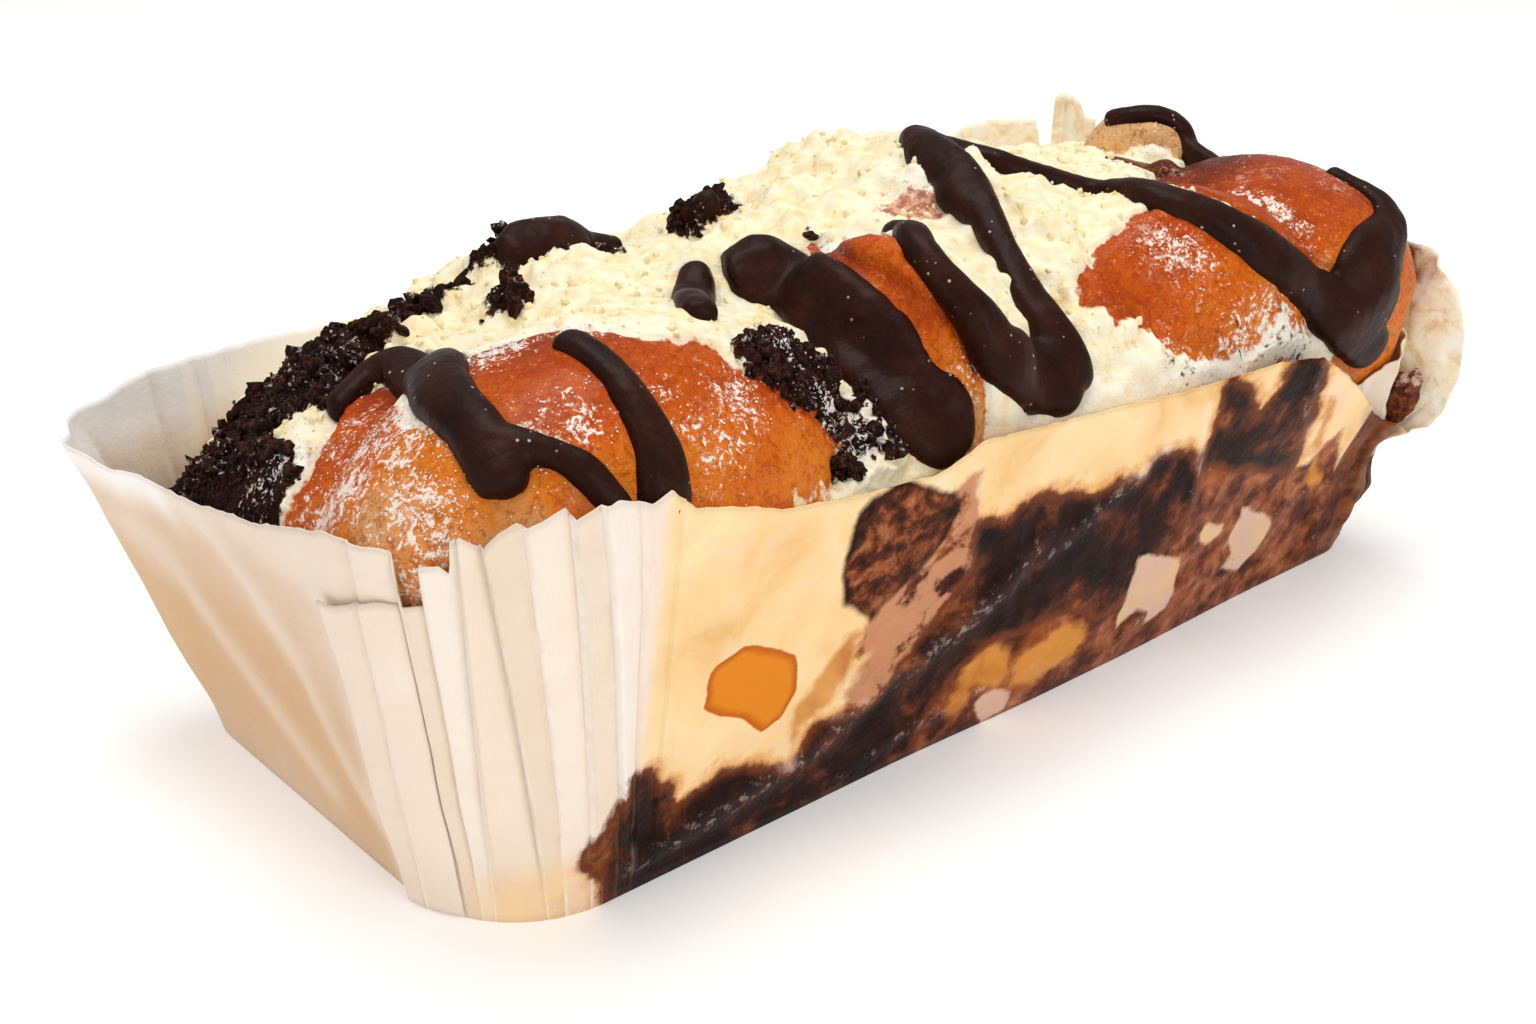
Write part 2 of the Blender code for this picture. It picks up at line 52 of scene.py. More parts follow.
# Where the zero that the shapes are measured from lies in the part's own frame
ORIGIN = np.array((-1.833, -0.768, 0.0))
RANDOM = np.random.default_rng(7)

# Base of the paper case, a rectangle with rounded corners
NEAR_END = -90.0
FAR_END = 99.0
HALF_WIDTH = 40.0
NEAR_FRONT_RADIUS = 19.0
NEAR_BACK_RADIUS = 8.0
FAR_RADIUS = 9.0
LENGTH = FAR_END - NEAR_END
WIDTH = 2 * HALF_WIDTH
AROUND = 2 * (LENGTH + WIDTH)

# How far each wall leans out for each millimetre that it rises
LEAN_NEAR = 0.187
LEAN_FAR = 0.08
LEAN_FRONT = 0.19
LEAN_BACK = 0.23

# Room that the loaf leaves for the paper, the paper's own thickness, and the height from which the
# rim is folded out in the far half
ROOM = 0.85
PAPER = 0.25
WAIST = 22.0

# Rim of the case, wall by wall: distance from the wall's first corner, how far the rim is
# folded out, and its height
RIM_FRONT = (
    (0.6, 0, 62.4), (1.5, 0, 63.4), (4, 0, 61.8), (6, 0, 64), (8, 0, 64.8), (8.3, 0, 64), (12, 0, 66),
    (12.5, 0, 64.6), (16, 0, 66.2), (19, 0, 64), (22, 0, 65), (26, 0, 61), (34, 0, 58.5), (42, 0, 55.5),
    (53, 0, 53.5), (69, 1, 52.5), (77, 1, 55.5), (99, 1, 52.8), (121, 1, 50.6), (141, 3, 50.5),
    (152, 4, 49), (161, 4, 43.4), (170, 3, 37), (177, 2, 31), (182.3, 2, 27), (184.6, 5.5, 26.2),
    (185.6, 9, 25.5), (186.1, 10.5, 32), (186.5, 9.5, 41), (187.3, 6.5, 49), (188.4, 3.5, 53),
)
RIM_FAR = (
    (1.2, 4, 55.5), (3.2, 2.5, 56), (9, 1, 56), (40, 0, 58), (58, 0, 59), (64, 0, 61), (69.5, 0, 61.3),
    (70, 0, 58.5), (71.5, 0, 59), (72.2, 0, 62.5), (74.2, 0, 63), (74.6, 0, 65), (75.6, 0, 66.2),
    (78.2, 0, 66.2), (79, 0, 65), (79.4, 0, 54),
)
RIM_BACK = (
    (0.8, 0, 53), (1.8, 0, 60.5), (8, 0, 60), (14, 0, 59), (22, 0, 57.8), (60, 0, 55), (100, 0, 54),
    (150, 0, 53), (168, 0, 54), (180, 1, 53), (185, 4, 51), (188, 7.5, 49),
)
RIM_NEAR = (
    (2, 6.5, 48), (6, 3, 48.2), (12, 0, 48.5), (30, 0, 50.5), (46, 0, 53.5), (59, 0, 58.0), (65, 0, 60.3),
    (70, 0, 60.2), (72.2, 0, 59.9), (72.5, 0, 52.5), (75.0, 0, 52.7), (75.2, 0, 58.4), (77.9, 0, 59.2),
    (79.4, 0, 57.6), (79.7, 0, 61.6),
)

# Pleats of the corner in front: place of each crease on the rim, at the foot, and its step
CREASES = (
    (-12.6, -14.4, 0.5), (-7.9, -7.4, 0.9), (-5.1, -4.6, 0.8), (0.8, -1.6, 1.3), (3.8, 9.5, 1.5),
    (8.2, 12.4, 0.8), (12.2, 16.2, 1.4), (14.8, 20.5, 1.5), (18.0, 23.0, 0.8), (23.6, 25.8, 0.6),
    (27.0, 28.0, 0.1),
)

# Stretch of the walk where the columns of paper slant with those pleats
SLANTED = (-22.0, 33.0)

# Pleats laid on another layer: from and to along the walk, foot, top edge, and how far they stand off
PLEATS_LAID_ON = (
    (-17.6, -7.9, 0.4, ((-17.6, 49.4), (-15.5, 49.8), (-12.5, 51.6), (-10.5, 52.5), (-7.9, 52.5)),
     (1.4, 0.35)),
    (171.0, 200.0, 22.0, ((171, 36), (178, 38), (184, 40), (188, 42), (193, 46), (200, 51)),
     (-0.45, -0.45)),
)

# Regular pleats of the other corners: from and to along the walk, then how long one is, the share
# of it that falls to its valley, and how deep that is
PLEATED = ((177.0, 215.0), (257.0, 281.0), (442.0, 465.0))
PLEAT_PITCH = 4.6
PLEAT_VALLEY = 0.7
PLEAT_DEPTH = 1.3

# Panels numbered in steps of this share of 1 never look like their neighbours
PANEL_STEP = 0.618

# Soft folds of the paper: points along each as walk and height, then its width and its rise
FOLDS = (
    (((-83, 46), (-64, 48.6), (-50, 48), (-41, 43.4), (-33, 35), (-22, 14)), 5.0, 0.9),
    (((-72, 38), (-63, 29), (-50, 21), (-35, 10)), 6.0, 0.7),
    (((22, 4), (34, 7), (44, 9), (52, 10), (62, 16), (78, 21), (87, 27), (94, 33)), 2.6, 0.75),
    (((76, 51), (77, 42), (79, 34)), 1.2, 0.5),
    (((117, 3), (127, 9), (140, 10.5), (150, 9.5), (158, 14), (163, 22), (164, 27)), 1.4, 0.5),
    (((140, 3), (152, 8), (166, 18)), 1.2, 0.35),
    (((127, 47), (128.5, 37), (129.5, 27)), 1.0, 0.45),
    (((152, 47), (153, 40), (156, 31)), 1.0, 0.4),
    (((96, 30), (108, 35), (120, 41)), 2.0, 0.35),
    (((60, 2), (74, 6), (92, 9), (104, 7)), 1.6, 0.4),
    (((174.2, 36), (173.4, 20), (173, 5)), 0.7, 0.9),
)

# Columns of paper that lie closer together than on the plain walls: from and to along the walk,
# and the distance between them there
FINE_COLUMNS = (
    (0.0, 30.0, 0.3), (177.0, 192.0, 0.4), (192.0, 215.0, 0.6), (257.0, 281.0, 0.5), (446.0, 484.0, 0.6),
    (515.0, AROUND, 0.3),
)
COLUMN_STEP = 1.1

# A column this close to a crease gives way to it
COLUMN_GAP = 0.12

# Lines of the walk and the height: a streak of filling in the folded-out corner, and the tanned
# band of the near wall
STREAK = ((193, 54), (192, 48), (191, 43))
TANNED = ((-72, 18), (-46, 22), (-30, 16))

# The back wall is dry up to this place of the walk, counted backwards, and soaked beyond it
BACK_DRY_TO = -WIDTH - 30

# Loaf: the crown line along the top, the height of the edge that it falls to at either end, the
# highest that this edge gets, and how far the top reaches to each side
CROWN = (
    (-96, 66), (-70, 68), (-54, 64.5), (-40, 70), (-14, 66.5), (0, 70.5), (14, 73), (25, 79), (42, 73.5),
    (60, 71), (80, 67), (100, 66),
)
EDGE_NEAR = 49.0
EDGE_FAR = 46.0
RIM_LEVEL = 64.0
NEAR_TOP = -97.3
FAR_TOP = 102.0
FRONT_TOP = -48.5
BACK_TOP = 50.5

# Strands of dough that stand above the crumb, and a low hump between two of them at the front
# edge: middle, half sizes, turn, top and foot
STRANDS = {
    "near": ((-60, -27), (41, 25), 6, 76.5, 46),
    "middle": ((-9, -29), (20, 10), -70, 78, 50),
    "right": ((47, -29), (30, 18), -14, 73.5, 50),
    "far": ((80, -25), (24, 26), -20, 71.2, 46),
    "far_shoulder": ((88, -36), (14, 14), 0, 66.5, 44),
    "back": ((88, 8), (13, 14), 20, 72.5, 46),
    "front_edge": ((57, -44), (10, 7), 0, 53, 49),
}

# Lumps of filling on the torn crumb: place, radius and rise
LUMPS = (
    (-71.5, 10, 5.5, 3.0), (-53, 23.5, 6, 2.5), (-48.5, 11.5, 4.5, 3.0), (-3.5, 21, 5, 3.0),
    (75, -11, 6, 2.0), (-41, 27, 6.5, 3.0), (-32, 28, 9, 3.6), (-21, -4, 11, 4.0), (-13.5, -10, 9, 4.5),
)

# Creases along the strand of dough in the middle: depth, width and the points along each
CREASED = (
    (1.4, 0.9, ((-12, -18), (-15, -24.5), (-14.5, -29.5), (-13.5, -36), (-11, -41), (-9, -45))),
    (1.0, 0.7, ((-11, -33), (-10.5, -38.5), (-10, -42), (-9, -44.5), (-7.5, -46.5))),
)

# Glazed crust, seen from above
CRUST = {
    "near": (
        (-99, -12), (-96.5, -9), (-88.5, -6.5), (-85.5, -3), (-81, -2.5), (-77, -5), (-74.5, -13),
        (-74.5, -20), (-67.5, -23), (-60.5, -28.5), (-57, -33), (-48, -37), (-48, -39), (-46, -40),
        (-41.5, -42), (-34, -43), (-33, -44), (-37.5, -48), (-44, -56), (-99, -56),
    ),
    "middle": (
        (-1, -2.5), (-6, -12), (-9.5, -22), (-8, -34), (-8.5, -43), (-8, -50), (-10.5, -50), (-12, -46.5),
        (-15.5, -42), (-18, -28), (-15.5, -20), (-9, -9), (-4, -3),
    ),
    "right": (
        (23, -36), (29, -33.5), (43.5, -31.5), (51, -39), (58.5, -43), (67, -45.5), (67.5, -47.3),
        (57, -48), (45, -47.5), (31, -45), (31, -44), (24, -42.5), (23, -41), (19.5, -39.5), (20, -38),
    ),
    "far": (
        (84, -17), (104, -28), (108, -40), (108, -56), (84, -56), (79, -50), (73.5, -47.8), (69, -43.5),
        (62, -42.5), (58.5, -40), (52, -33), (56, -22), (64, -14), (72, -11),
    ),
    "back": ((74, 12), (84, 0.5), (90, -4), (98, -8), (106, -6), (106, 20), (92, 22), (80, 20)),
    "seam": (
        (70, 3), (77, 2), (88, -8), (91, -14.5), (88.5, -18.5), (80, -18), (69, -11.5), (66, -6),
        (66.5, -1),
    ),
    "wall": ((88, -42), (112, -38), (112, -60), (88, -60)),
}

# Cocoa crumb and lumps of filling, seen from above
COCOA = {
    "near_slope": (
        (-89, 48), (-85, 44.5), (-81, 42.5), (-72, 42.5), (-66.5, 39), (-62, 34.5), (-60, 28), (-62, 20),
        (-67.5, 7.5), (-73, 4.5), (-78, 3), (-84.5, -1), (-87, 4.5), (-88, 9), (-90, 5), (-91, -3),
        (-92.5, -6), (-95, -7.5), (-100, -9.5), (-101, 16), (-100, 48),
    ),
    "lump_back": ((-54, 31.5), (-48.5, 34), (-46, 25.5), (-50, 20.5), (-57.5, 20.5), (-60.5, 25)),
    "lump_top": ((-52.5, 11.5), (-49, 16), (-46, 15), (-45.5, 10.5), (-47.5, 7.5), (-51.5, 8)),
    "ridge": ((-46.5, 26), (-39.5, 20.5), (-22, 19), (-22, 28), (-37.5, 31)),
    "lump_ridge": ((-10.5, 22), (-8.5, 17.5), (-4.5, 16), (1.5, 18.5), (4.5, 23.5), (0.5, 27), (-6, 26.5)),
    "between": (
        (-46.5, -36.5), (-38.5, -32), (-33.5, -31.5), (-27, -27.5), (-23, -30.5), (-21.5, -37),
        (-22, -42.5), (-23, -46.5), (-34, -48), (-38, -48), (-37.5, -44.5), (-46, -41),
    ),
    "seam": ((68, 1), (74, 2), (80, -1), (83, -4.5), (79, -8), (72, -9), (67.5, -4)),
}

# Pale crumb with only specks of cocoa in it, and how far it stays short of being cocoa crumb
SPECKLED = {
    "right": ((29, -45.5), (42, -46.5), (42.5, -48.5), (33.5, -48.5), (28.5, -47.5)),
    "far": ((47, -47), (66, -47), (66, -49.5), (47, -49.5)),
    "wall": ((92, -46), (100, -44), (104, -56), (90, -56)),
    "root": ((-3.5, -1), (0.5, 0.5), (1.5, -2.5), (-2.5, -7.5), (-5.5, -6.5)),
    "seam_end": ((60, -12), (68, -8), (74, -4), (70, -2), (60, -6)),
}
SPECK_DEPTH = 0.6

# Size of the largest crags of the torn crumb
CRAG = 6.5

# Pale crumb that lies over crust or cocoa
PALE = {
    "blob": ((-81.5, -12), (-79, -12.5), (-79.5, -22), (-84.5, -27), (-87.5, -29), (-88, -26)),
    "near": (
        (-88, 8), (-87, 4.5), (-85.5, 2), (-85, -1.5), (-86.5, -5), (-89, -6), (-91, -4.5), (-91, -0.5),
        (-89.5, 4),
    ),
    "between": ((-26.5, -32.5), (-23.5, -33.5), (-22.5, -40), (-23.5, -44), (-27, -44), (-26, -39)),
    "wall_top": (
        (-45, -49), (-41.5, -48), (-38.5, -47), (-35, -46), (-30, -44.5), (-24, -45), (-17, -47),
        (-18, -56), (-47, -56),
    ),
}

# Crumb smeared with crust and cocoa
SMEARED = {"top": ((10.5, -4), (16, -4), (17.5, -10), (14.6, -13.3), (11, -12), (10, -7.8))}

# Dusting of sugar, with spots of painted sheen on the crust and painted light on crumb in shade at the
# front edge: middle, half sizes, turn and weight
SUGAR_AND_PAINTED_LIGHT = (
    ((-88, -24), (11, 17), 10, 0.8), ((-73, -24), (7, 6), 0, 0.9), ((-87, -9), (8, 5), 20, 0.7),
    ((-93, -36), (8, 11), 0, 0.85), ((-95, -20), (4.5, 15), 5, 1.0), ((-64, -27), (10, 5), -25, 0.7),
    ((-76, -41), (13, 7), 5, 0.75), ((-61, -41.5), (6, 5), 0, 0.55), ((-50, -43), (9, 4.5), 10, 0.75),
    ((-40, -36), (7, 3.5), -30, 0.4), ((-57, -46), (9, 4.5), -10, 0.7), ((-9, -26), (3, 10), 20, 0.6),
    ((-3, -7), (5, 5), 0, 0.9), ((-9, -44.5), (4, 3.5), 0, 0.7), ((40, -39.5), (10, 4.5), -35, 0.85),
    ((33, -45), (8, 1.8), -5, 0.6), ((50, -47.6), (16, 1.4), 0, 0.7), ((69.5, -35), (11, 3.2), -76, 1.0),
    ((89, -18), (8, 6), 0, 0.7), ((-93, -2), (4, 9), 15, 0.8), ((-89, 24), (8, 12), 0, 0.4),
    ((-30, -41), (8, 5), 0, 1.0), ((-36, -35.5), (6, 4), 0, 0.9), ((44, -48), (32, 3), 0, 0.8),
    ((8, -47), (12, 3), 0, 0.8), ((60, -20), (8, 8), 0, 0.6), ((78, -6), (10, 5), -20, 0.35),
    ((-46, 11), (5, 4), 0, 0.5), ((20, -6), (9, 9), 0, 0.6), ((90, -34), (8, 8), 0, 0.5),
    ((86, 3), (8, 6), 0, 0.5),
)

# Bands of icing: points along each one and its width there, then how high a broad one stands, how
# far it reaches into the dough, how deep it is set, the length of its steps, and the most that it
# sinks to a dip
BANDS = {
    "near_fork_long": (
        (-85.5, -3, 63.5, 3.5), (-83, -1.5, 64, 4), (-78, 0, 66, 4.5), (-75.5, -0.5, 66.5, 5.5),
        (-74.5, -3, 67, 7.5), (-75, -9, 68.5, 9), (-78.5, -18, 72, 9), (-82, -25, 72.5, 8.5),
        (-83.5, -33.5, 71.5, 7.5), (-84, -39, 69, 7.5), (-85, -43, 65.5, 7),
    ),
    "near_fork_short": (
        (-83.5, -36.5, 70.5, 5.5), (-82, -39, 70, 6), (-78, -42.5, 69, 4), (-75.5, -45.5, 67, 4.5),
        (-72.5, -49, 61, 4.5),
    ),
    "near_cross": (
        (-67.5, -28.5, 76.5, 4), (-66, -31, 76, 5), (-65.5, -37, 74.5, 4.5), (-65.5, -42, 71.5, 5.5),
        (-65.5, -46, 67.5, 6.5), (-66.5, -49, 63, 7.5), (-66.5, -50, 59.5, 7.5),
    ),
    "stub": (
        (-26, -5, 71, 4.5), (-29, -8, 69.5, 6), (-32, -11.5, 69, 6), (-35.5, -15.5, 69.5, 5.5),
        (-38.5, -19, 72, 5.5), (-42, -24, 74, 5.5), (-45.5, -30, 75, 5.5),
    ),
    "broad": (
        (-25, -10, 70, 6), (-23, -10.5, 70, 11), (-20, -11, 70.5, 13), (-18, -13, 70.5, 13),
        (-17.5, -18, 70, 11.5), (-18, -26, 68, 12.5), (-17.5, -33.5, 64, 14), (-16.5, -38.5, 59.5, 14),
        (-16, -43.5, 55.5, 14), (-14, -47.5, 51.5, 12),
    ),
    "curl": ((-8, 21, 67, 2), (-6, 19.5, 69.5, 4), (-4, 19.5, 71, 5), (-2.5, 20.5, 71, 3.5)),
    "valley_down": (
        (8, -11.5, 72, 5.5), (6, -14, 71.5, 6), (-0.5, -21.5, 73.5, 6), (-7, -29.5, 77.5, 5.5),
        (-9.5, -34.5, 77, 5), (-9, -40, 73, 5.5), (-6.5, -44.5, 68, 7.5), (-5, -45.5, 65, 9),
        (-1.5, -45.5, 62, 11), (4, -44.5, 59, 12), (8.5, -44.5, 56.5, 12.5), (12, -46, 54, 11.5),
    ),
    "valley_up": (
        (10, -46.5, 54.5, 10), (12, -41, 60.5, 8), (12.5, -35.5, 64.5, 6), (15.5, -26.5, 69.5, 5),
        (18, -20, 73, 6), (19.5, -14, 75, 9), (21, -10.5, 76.5, 8.5), (24, -1.5, 78.5, 8.5),
        (28.5, 6, 78, 7),
    ),
    "sweep": (
        (25, 1, 79, 4.5), (29, -3, 78, 5), (32, -8, 76.5, 5.5), (35.5, -11.5, 75, 5), (38.5, -13, 74, 4.5),
        (44, -17, 72, 4.5), (45.5, -20.5, 72, 5), (44.5, -30.5, 73.5, 6), (48, -37.5, 71.5, 6.5),
        (54, -43, 67, 8.5), (58, -45, 64, 8.5), (63, -46, 60, 8.5), (68, -46, 56, 9), (70.5, -48, 53.5, 10),
        (75, -48.5, 50, 10.5), (81, -48, 45.5, 9.5), (85.5, -47, 42.5, 8.5),
    ),
    "sweep_end": (
        (81.5, -48, 46, 11.5), (79, -48.5, 52, 15), (79, -48.5, 56.5, 15), (82, -47.5, 59.5, 13),
        (90, -43.5, 63, 7), (92, -37.5, 66, 5), (89.5, -30.5, 68.5, 3.5),
    ),
    "far_end": (
        (82.5, 12.5, 70.5, 4), (84.5, 7.5, 72, 4.5), (88, 4, 72, 4.5), (91.5, 0.5, 71, 4.5),
        (91.5, -5, 69, 4.5), (88, -10, 69, 4),
    ),
    "back_ridge": (
        (-42, 22.5, 68.5, 5), (-34, 24, 70, 9.5), (-30.5, 24.5, 69.5, 10.5), (-21.5, 26, 67, 6),
        (-17, 26, 66, 3.5),
    ),
}
BAND_RISE = 3.0
BAND_ROOT = 2.2
BAND_SET = 0.3
BAND_STEP = 1.2
BAND_DIP = 2.5

# Size of the cells that run the bands together
ICING_VOXEL = 0.55

# Loose crumbs and grains: how many of each kind, and how far one may stray from its point
COCOA_CRUMBS = 1700
PALE_CRUMBS = 1500
SUGAR_GRAINS = 2400
STRAY = 0.45

# Loose lump of filling in the folded-out corner: its middle and half sizes
LUMP_AT = (97.0, -47.0, 31.3)
LUMP_SIZES = (2.6, 2.8, 5.0)

# Camera: its eye and the way that it looks
EYE = (-201.104, -225.735, 166.754)
LOOK = (0.58545, 0.68565, -0.43259)

# Filling and fat that show through the front wall: outlines of x at the wall's foot and height
SHOWS = {
    "amber": {
        "spot": (
            (-58, 31.5), (-57.5, 33.5), (-52.5, 36), (-45.5, 32.5), (-43, 30.5), (-41, 24), (-43, 19.5),
            (-47, 19), (-50, 22.5), (-58, 27.5), (-57.5, 29.5),
        ),
    },
    "swirl": {
        "roll": (
            (-36, 42), (-35.5, 50.5), (-33, 53), (-28, 54), (-17, 48.5), (-16, 45), (-18.5, 39.5),
            (-29, 31), (-35, 36.5),
        ),
    },
    "halo": {
        "rim": (
            (-14, 51.5), (-9, 33), (-10.5, 28), (-24, 14), (-28.5, 12.5), (-31.5, 14.5), (-31.5, 19),
            (-27, 25), (-30.5, 25.5), (-30.5, 29), (-29, 33), (-23.5, 36.5), (-19.5, 42), (-18.5, 48.5),
        ),
    },
    "caramel": {
        "right": (
            (39, 34.5), (56, 33), (72.5, 24.5), (79, 30), (84, 20), (92, 12), (95, -2), (-16.5, -2),
            (-13, 10), (-10, 15), (-5, 19), (14, 19), (26, 16), (38, 26),
        ),
    },
    "facet": {
        # Past the fold of the far corner: filling seen through the paper, with painted shade over it
        "end": ((84, 36), (83, -2), (112, -2), (112, 14), (96, 18), (93, 24), (92, 34), (90, 40)),
    },
    "ochre": {
        "slope": (
            (-41, 12), (-37.5, 17), (-33, 19), (-31.5, 24), (-30, 30), (-33, 30), (-37, 25), (-41, 20),
        ),
        "patch": (
            (-5, 16.5), (-2, 17), (2, 14.5), (4, 9), (1, 6), (-4.5, 8.5), (-4.5, 5), (-8, 4), (-9.5, 7),
            (-7.5, 10.5), (-7.5, 14.5),
        ),
        "low": ((4, 11), (9, 13.5), (16, 14.5), (22, 10.5), (19, 6.5), (10, 4), (4, 6)),
        "streak": ((67.5, 42), (70.5, 40), (75.5, 27), (81.5, 18), (79, 16.5), (74.5, 22), (70.5, 32)),
    },
    "cocoa": {
        "main": (
            (-13, 42), (-4.5, 40), (-3, 42), (2.5, 42), (11, 40), (15.5, 37.5), (21, 39), (25.5, 37),
            (26, 39.5), (28.5, 41), (34, 40), (38, 38), (40, 34.5), (41, 28), (39.5, 25), (40, 21),
            (32.5, 19.5), (29.5, 15), (26.5, 12.5), (23, 12.5), (13, 16.5), (2, 16), (-3.5, 17), (-8, 14),
            (-13, 6), (-14, -2), (-72, -2), (-73.5, 6), (-76, 8.5), (-76, 11.5), (-70.5, 18.5), (-70.5, 22),
            (-66.5, 21.5), (-64.5, 18.5), (-62, 17), (-60.5, 13), (-53, 15.5), (-40.5, 10), (-36.5, 16.5),
            (-27, 15), (-16, 25.5), (-11.5, 33),
        ),
        "right": (
            (40, 41.5), (39.5, 49), (41, 51), (47.5, 47), (50.5, 41.5), (53.5, 46), (53, 48.5), (56, 51),
            (62, 50), (66, 43.5), (65, 41.5), (68, 36.5), (67, 32.5), (70.5, 25.5), (68, 24), (39, 34.5),
        ),
    },
    "pale": {
        "patch": ((29, 22), (31.5, 21.5), (42, 16), (42, 6), (36.5, 5.5), (36, 8.5), (33, 10), (28.5, 8)),
        "low": ((-3, 5.5), (-0.5, 6.5), (3, 6), (6, 3.5), (5.5, 0.5), (0, 0)),
        "small": ((45.5, 19), (47.5, 21), (53.5, 19.5), (53.5, 17.5), (49.5, 17)),
        "long": (
            (56.5, 15.5), (58, 20.5), (67.5, 15), (67, 9.5), (62, 7), (57.5, 8), (55, 9.5), (58.5, 10.5),
        ),
        "edge": ((83.5, 36), (85, 36), (84, 20), (83, 20)),
    },
}


def smooth_step(start, end, value):
    t = np.clip((value - start) / (end - start), 0.0, 1.0)
    return t * t * (3 - 2 * t)


def span(start, full, fade, end, value):
    """1 from full to fade, and smoothly down to 0 at the start and the end."""
    return smooth_step(start, full, value) * smooth_step(end, fade, value)


def ridge_of(away, width):
    """1 on a line, falling off with the distance away from it."""
    return np.exp(-(away / width) ** 2)


def smooth_max(a, b, width):
    h = np.clip(0.5 + 0.5 * (a - b) / width, 0.0, 1.0)
    return b * (1 - h) + a * h + width * h * (1 - h)


def grain(points, size, shift=0.0):
    """Smooth noise, from about -1 to 1, in lumps of one size."""
    return np.array([noise.noise(p) for p in (points / size + shift).tolist()])


def grains(points, *kinds):
    """Smooth noise of several kinds added up: the weight, the size and the shift of each."""
    return sum(weight * grain(points, size, shift) for weight, size, shift in kinds)


def wander(points, size, shift, reach):
    """A smooth push in plan for each point, which keeps an outline's edge from being straight."""
    return np.column_stack((grain(points, size, shift), grain(points, size, shift + 10))) * reach


def distance_to_side(places, a, b):
    """Distance in plan from each place to the straight line from a to b."""
    side = b - a
    t = np.clip(((places[:, :2] - a) @ side) / (side @ side), 0, 1)
    away = places[:, :2] - a - t[:, None] * side
    return np.hypot(away[:, 0], away[:, 1])


def distance_to_line(places, line):
    line = np.array(line, float)
    return np.min([distance_to_side(places, a, b) for a, b in zip(line, line[1:])], axis=0)


def depth_inside(places, outline):
    """How far each place lies inside a closed outline, below zero outside it."""
    corners = np.array(outline, float)
    nearest = np.full(len(places), np.inf)
    within = np.zeros(len(places), bool)
    x, y = places[:, 0], places[:, 1]
    for a, b in zip(corners, np.roll(corners, -1, 0)):
        nearest = np.minimum(nearest, distance_to_side(places, a, b))
        rise = b[1] - a[1] or 1e-9
        within ^= ((a[1] > y) != (b[1] > y)) & (x < a[0] + (b[0] - a[0]) * (y - a[1]) / rise)
    return np.where(within, nearest, -nearest)


def depth_in_any(places, outlines):
    return np.max([depth_inside(places, outline) for outline in outlines.values()], axis=0)


def along_and_across(x, y, middle, turn):
    """How far places lie along and across an oval that is turned about its middle."""
    a = math.radians(turn)
    x, y = x - middle[0], y - middle[1]
    return x * math.cos(a) + y * math.sin(a), y * math.cos(a) - x * math.sin(a)


def spread(places, spots):
    """Weight of soft oval spots at each place."""
    total = np.zeros(len(places))
    for middle, (long, short), turn, weight in spots:
        s, t = along_and_across(places[:, 0], places[:, 1], middle, turn)
        total = np.maximum(total, weight * np.exp(-((s / long) ** 2 + (t / short) ** 2) * 1.2))
    return total


def net(rows, columns, closed=False):
    """Faces between the points of a net, given row by row."""
    faces = []
    for row in range(rows - 1):
        low, high = row * columns, (row + 1) * columns
        for a in range(columns if closed else columns - 1):
            b = (a + 1) % columns
            faces.append((low + a, low + b, high + b, high + a))
    return faces


def make_piece(name, points, faces, finish, facts=None):
    """A mesh from points in millimetres, with what is known about each point kept with it."""
    mesh = bpy.data.meshes.new(name)
    mesh.from_pydata(((points + ORIGIN) * METRES).tolist(), [], faces)
    for name_of_fact, values in (facts or {}).items():
        fact = mesh.attributes.new(name_of_fact, "FLOAT", "POINT")
        fact.data.foreach_set("value", np.asarray(values, np.float32))
    mesh.materials.append(finish)
    mesh.shade_smooth()
    piece = bpy.data.objects.new(name, mesh)
    bpy.context.scene.collection.objects.link(piece)
    return piece


def apply_modifiers(piece):
    """The piece's mesh as its modifiers leave it."""
    depsgraph = bpy.context.evaluated_depsgraph_get()
    mesh = bpy.data.meshes.new_from_object(piece.evaluated_get(depsgraph))
    piece.modifiers.clear()
    piece.data = mesh
    piece.data.name = piece.name


def on_body(piece, slot, *nodes):
    """A piece that rides on the one body, and the nodes that it stands in for, which are hidden; the slot
    is not used.
    """
    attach(piece, "root")
    if nodes:
        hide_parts(*nodes)
    return piece


class Value:
    """A shader socket that Python's own operators work on."""

    def __init__(self, finish, socket):
        self.finish = finish
        self.socket = socket

    def math(self, operation, *others):
        values = {0: self, **{i + 1: other for i, other in enumerate(others)}}
        return self.finish.node("ShaderNodeMath", {"operation": operation}, values)

    def __add__(self, other):
        return self.math("ADD", other)

    __radd__ = __add__

    def __sub__(self, other):
        return self.math("SUBTRACT", other)

    def __rsub__(self, other):
        return self * -1 + other

    def __mul__(self, other):
        return self.math("MULTIPLY", other)

    __rmul__ = __mul__

    def larger(self, other):
        return self.math("MAXIMUM", other)

    def step(self, start, end):
        """0 before start and 1 after end, smooth between."""
        kind = {"interpolation_type": "SMOOTHSTEP"}
        return self.finish.node("ShaderNodeMapRange", kind, {0: self, 1: start, 2: end, 3: 0.0, 4: 1.0})


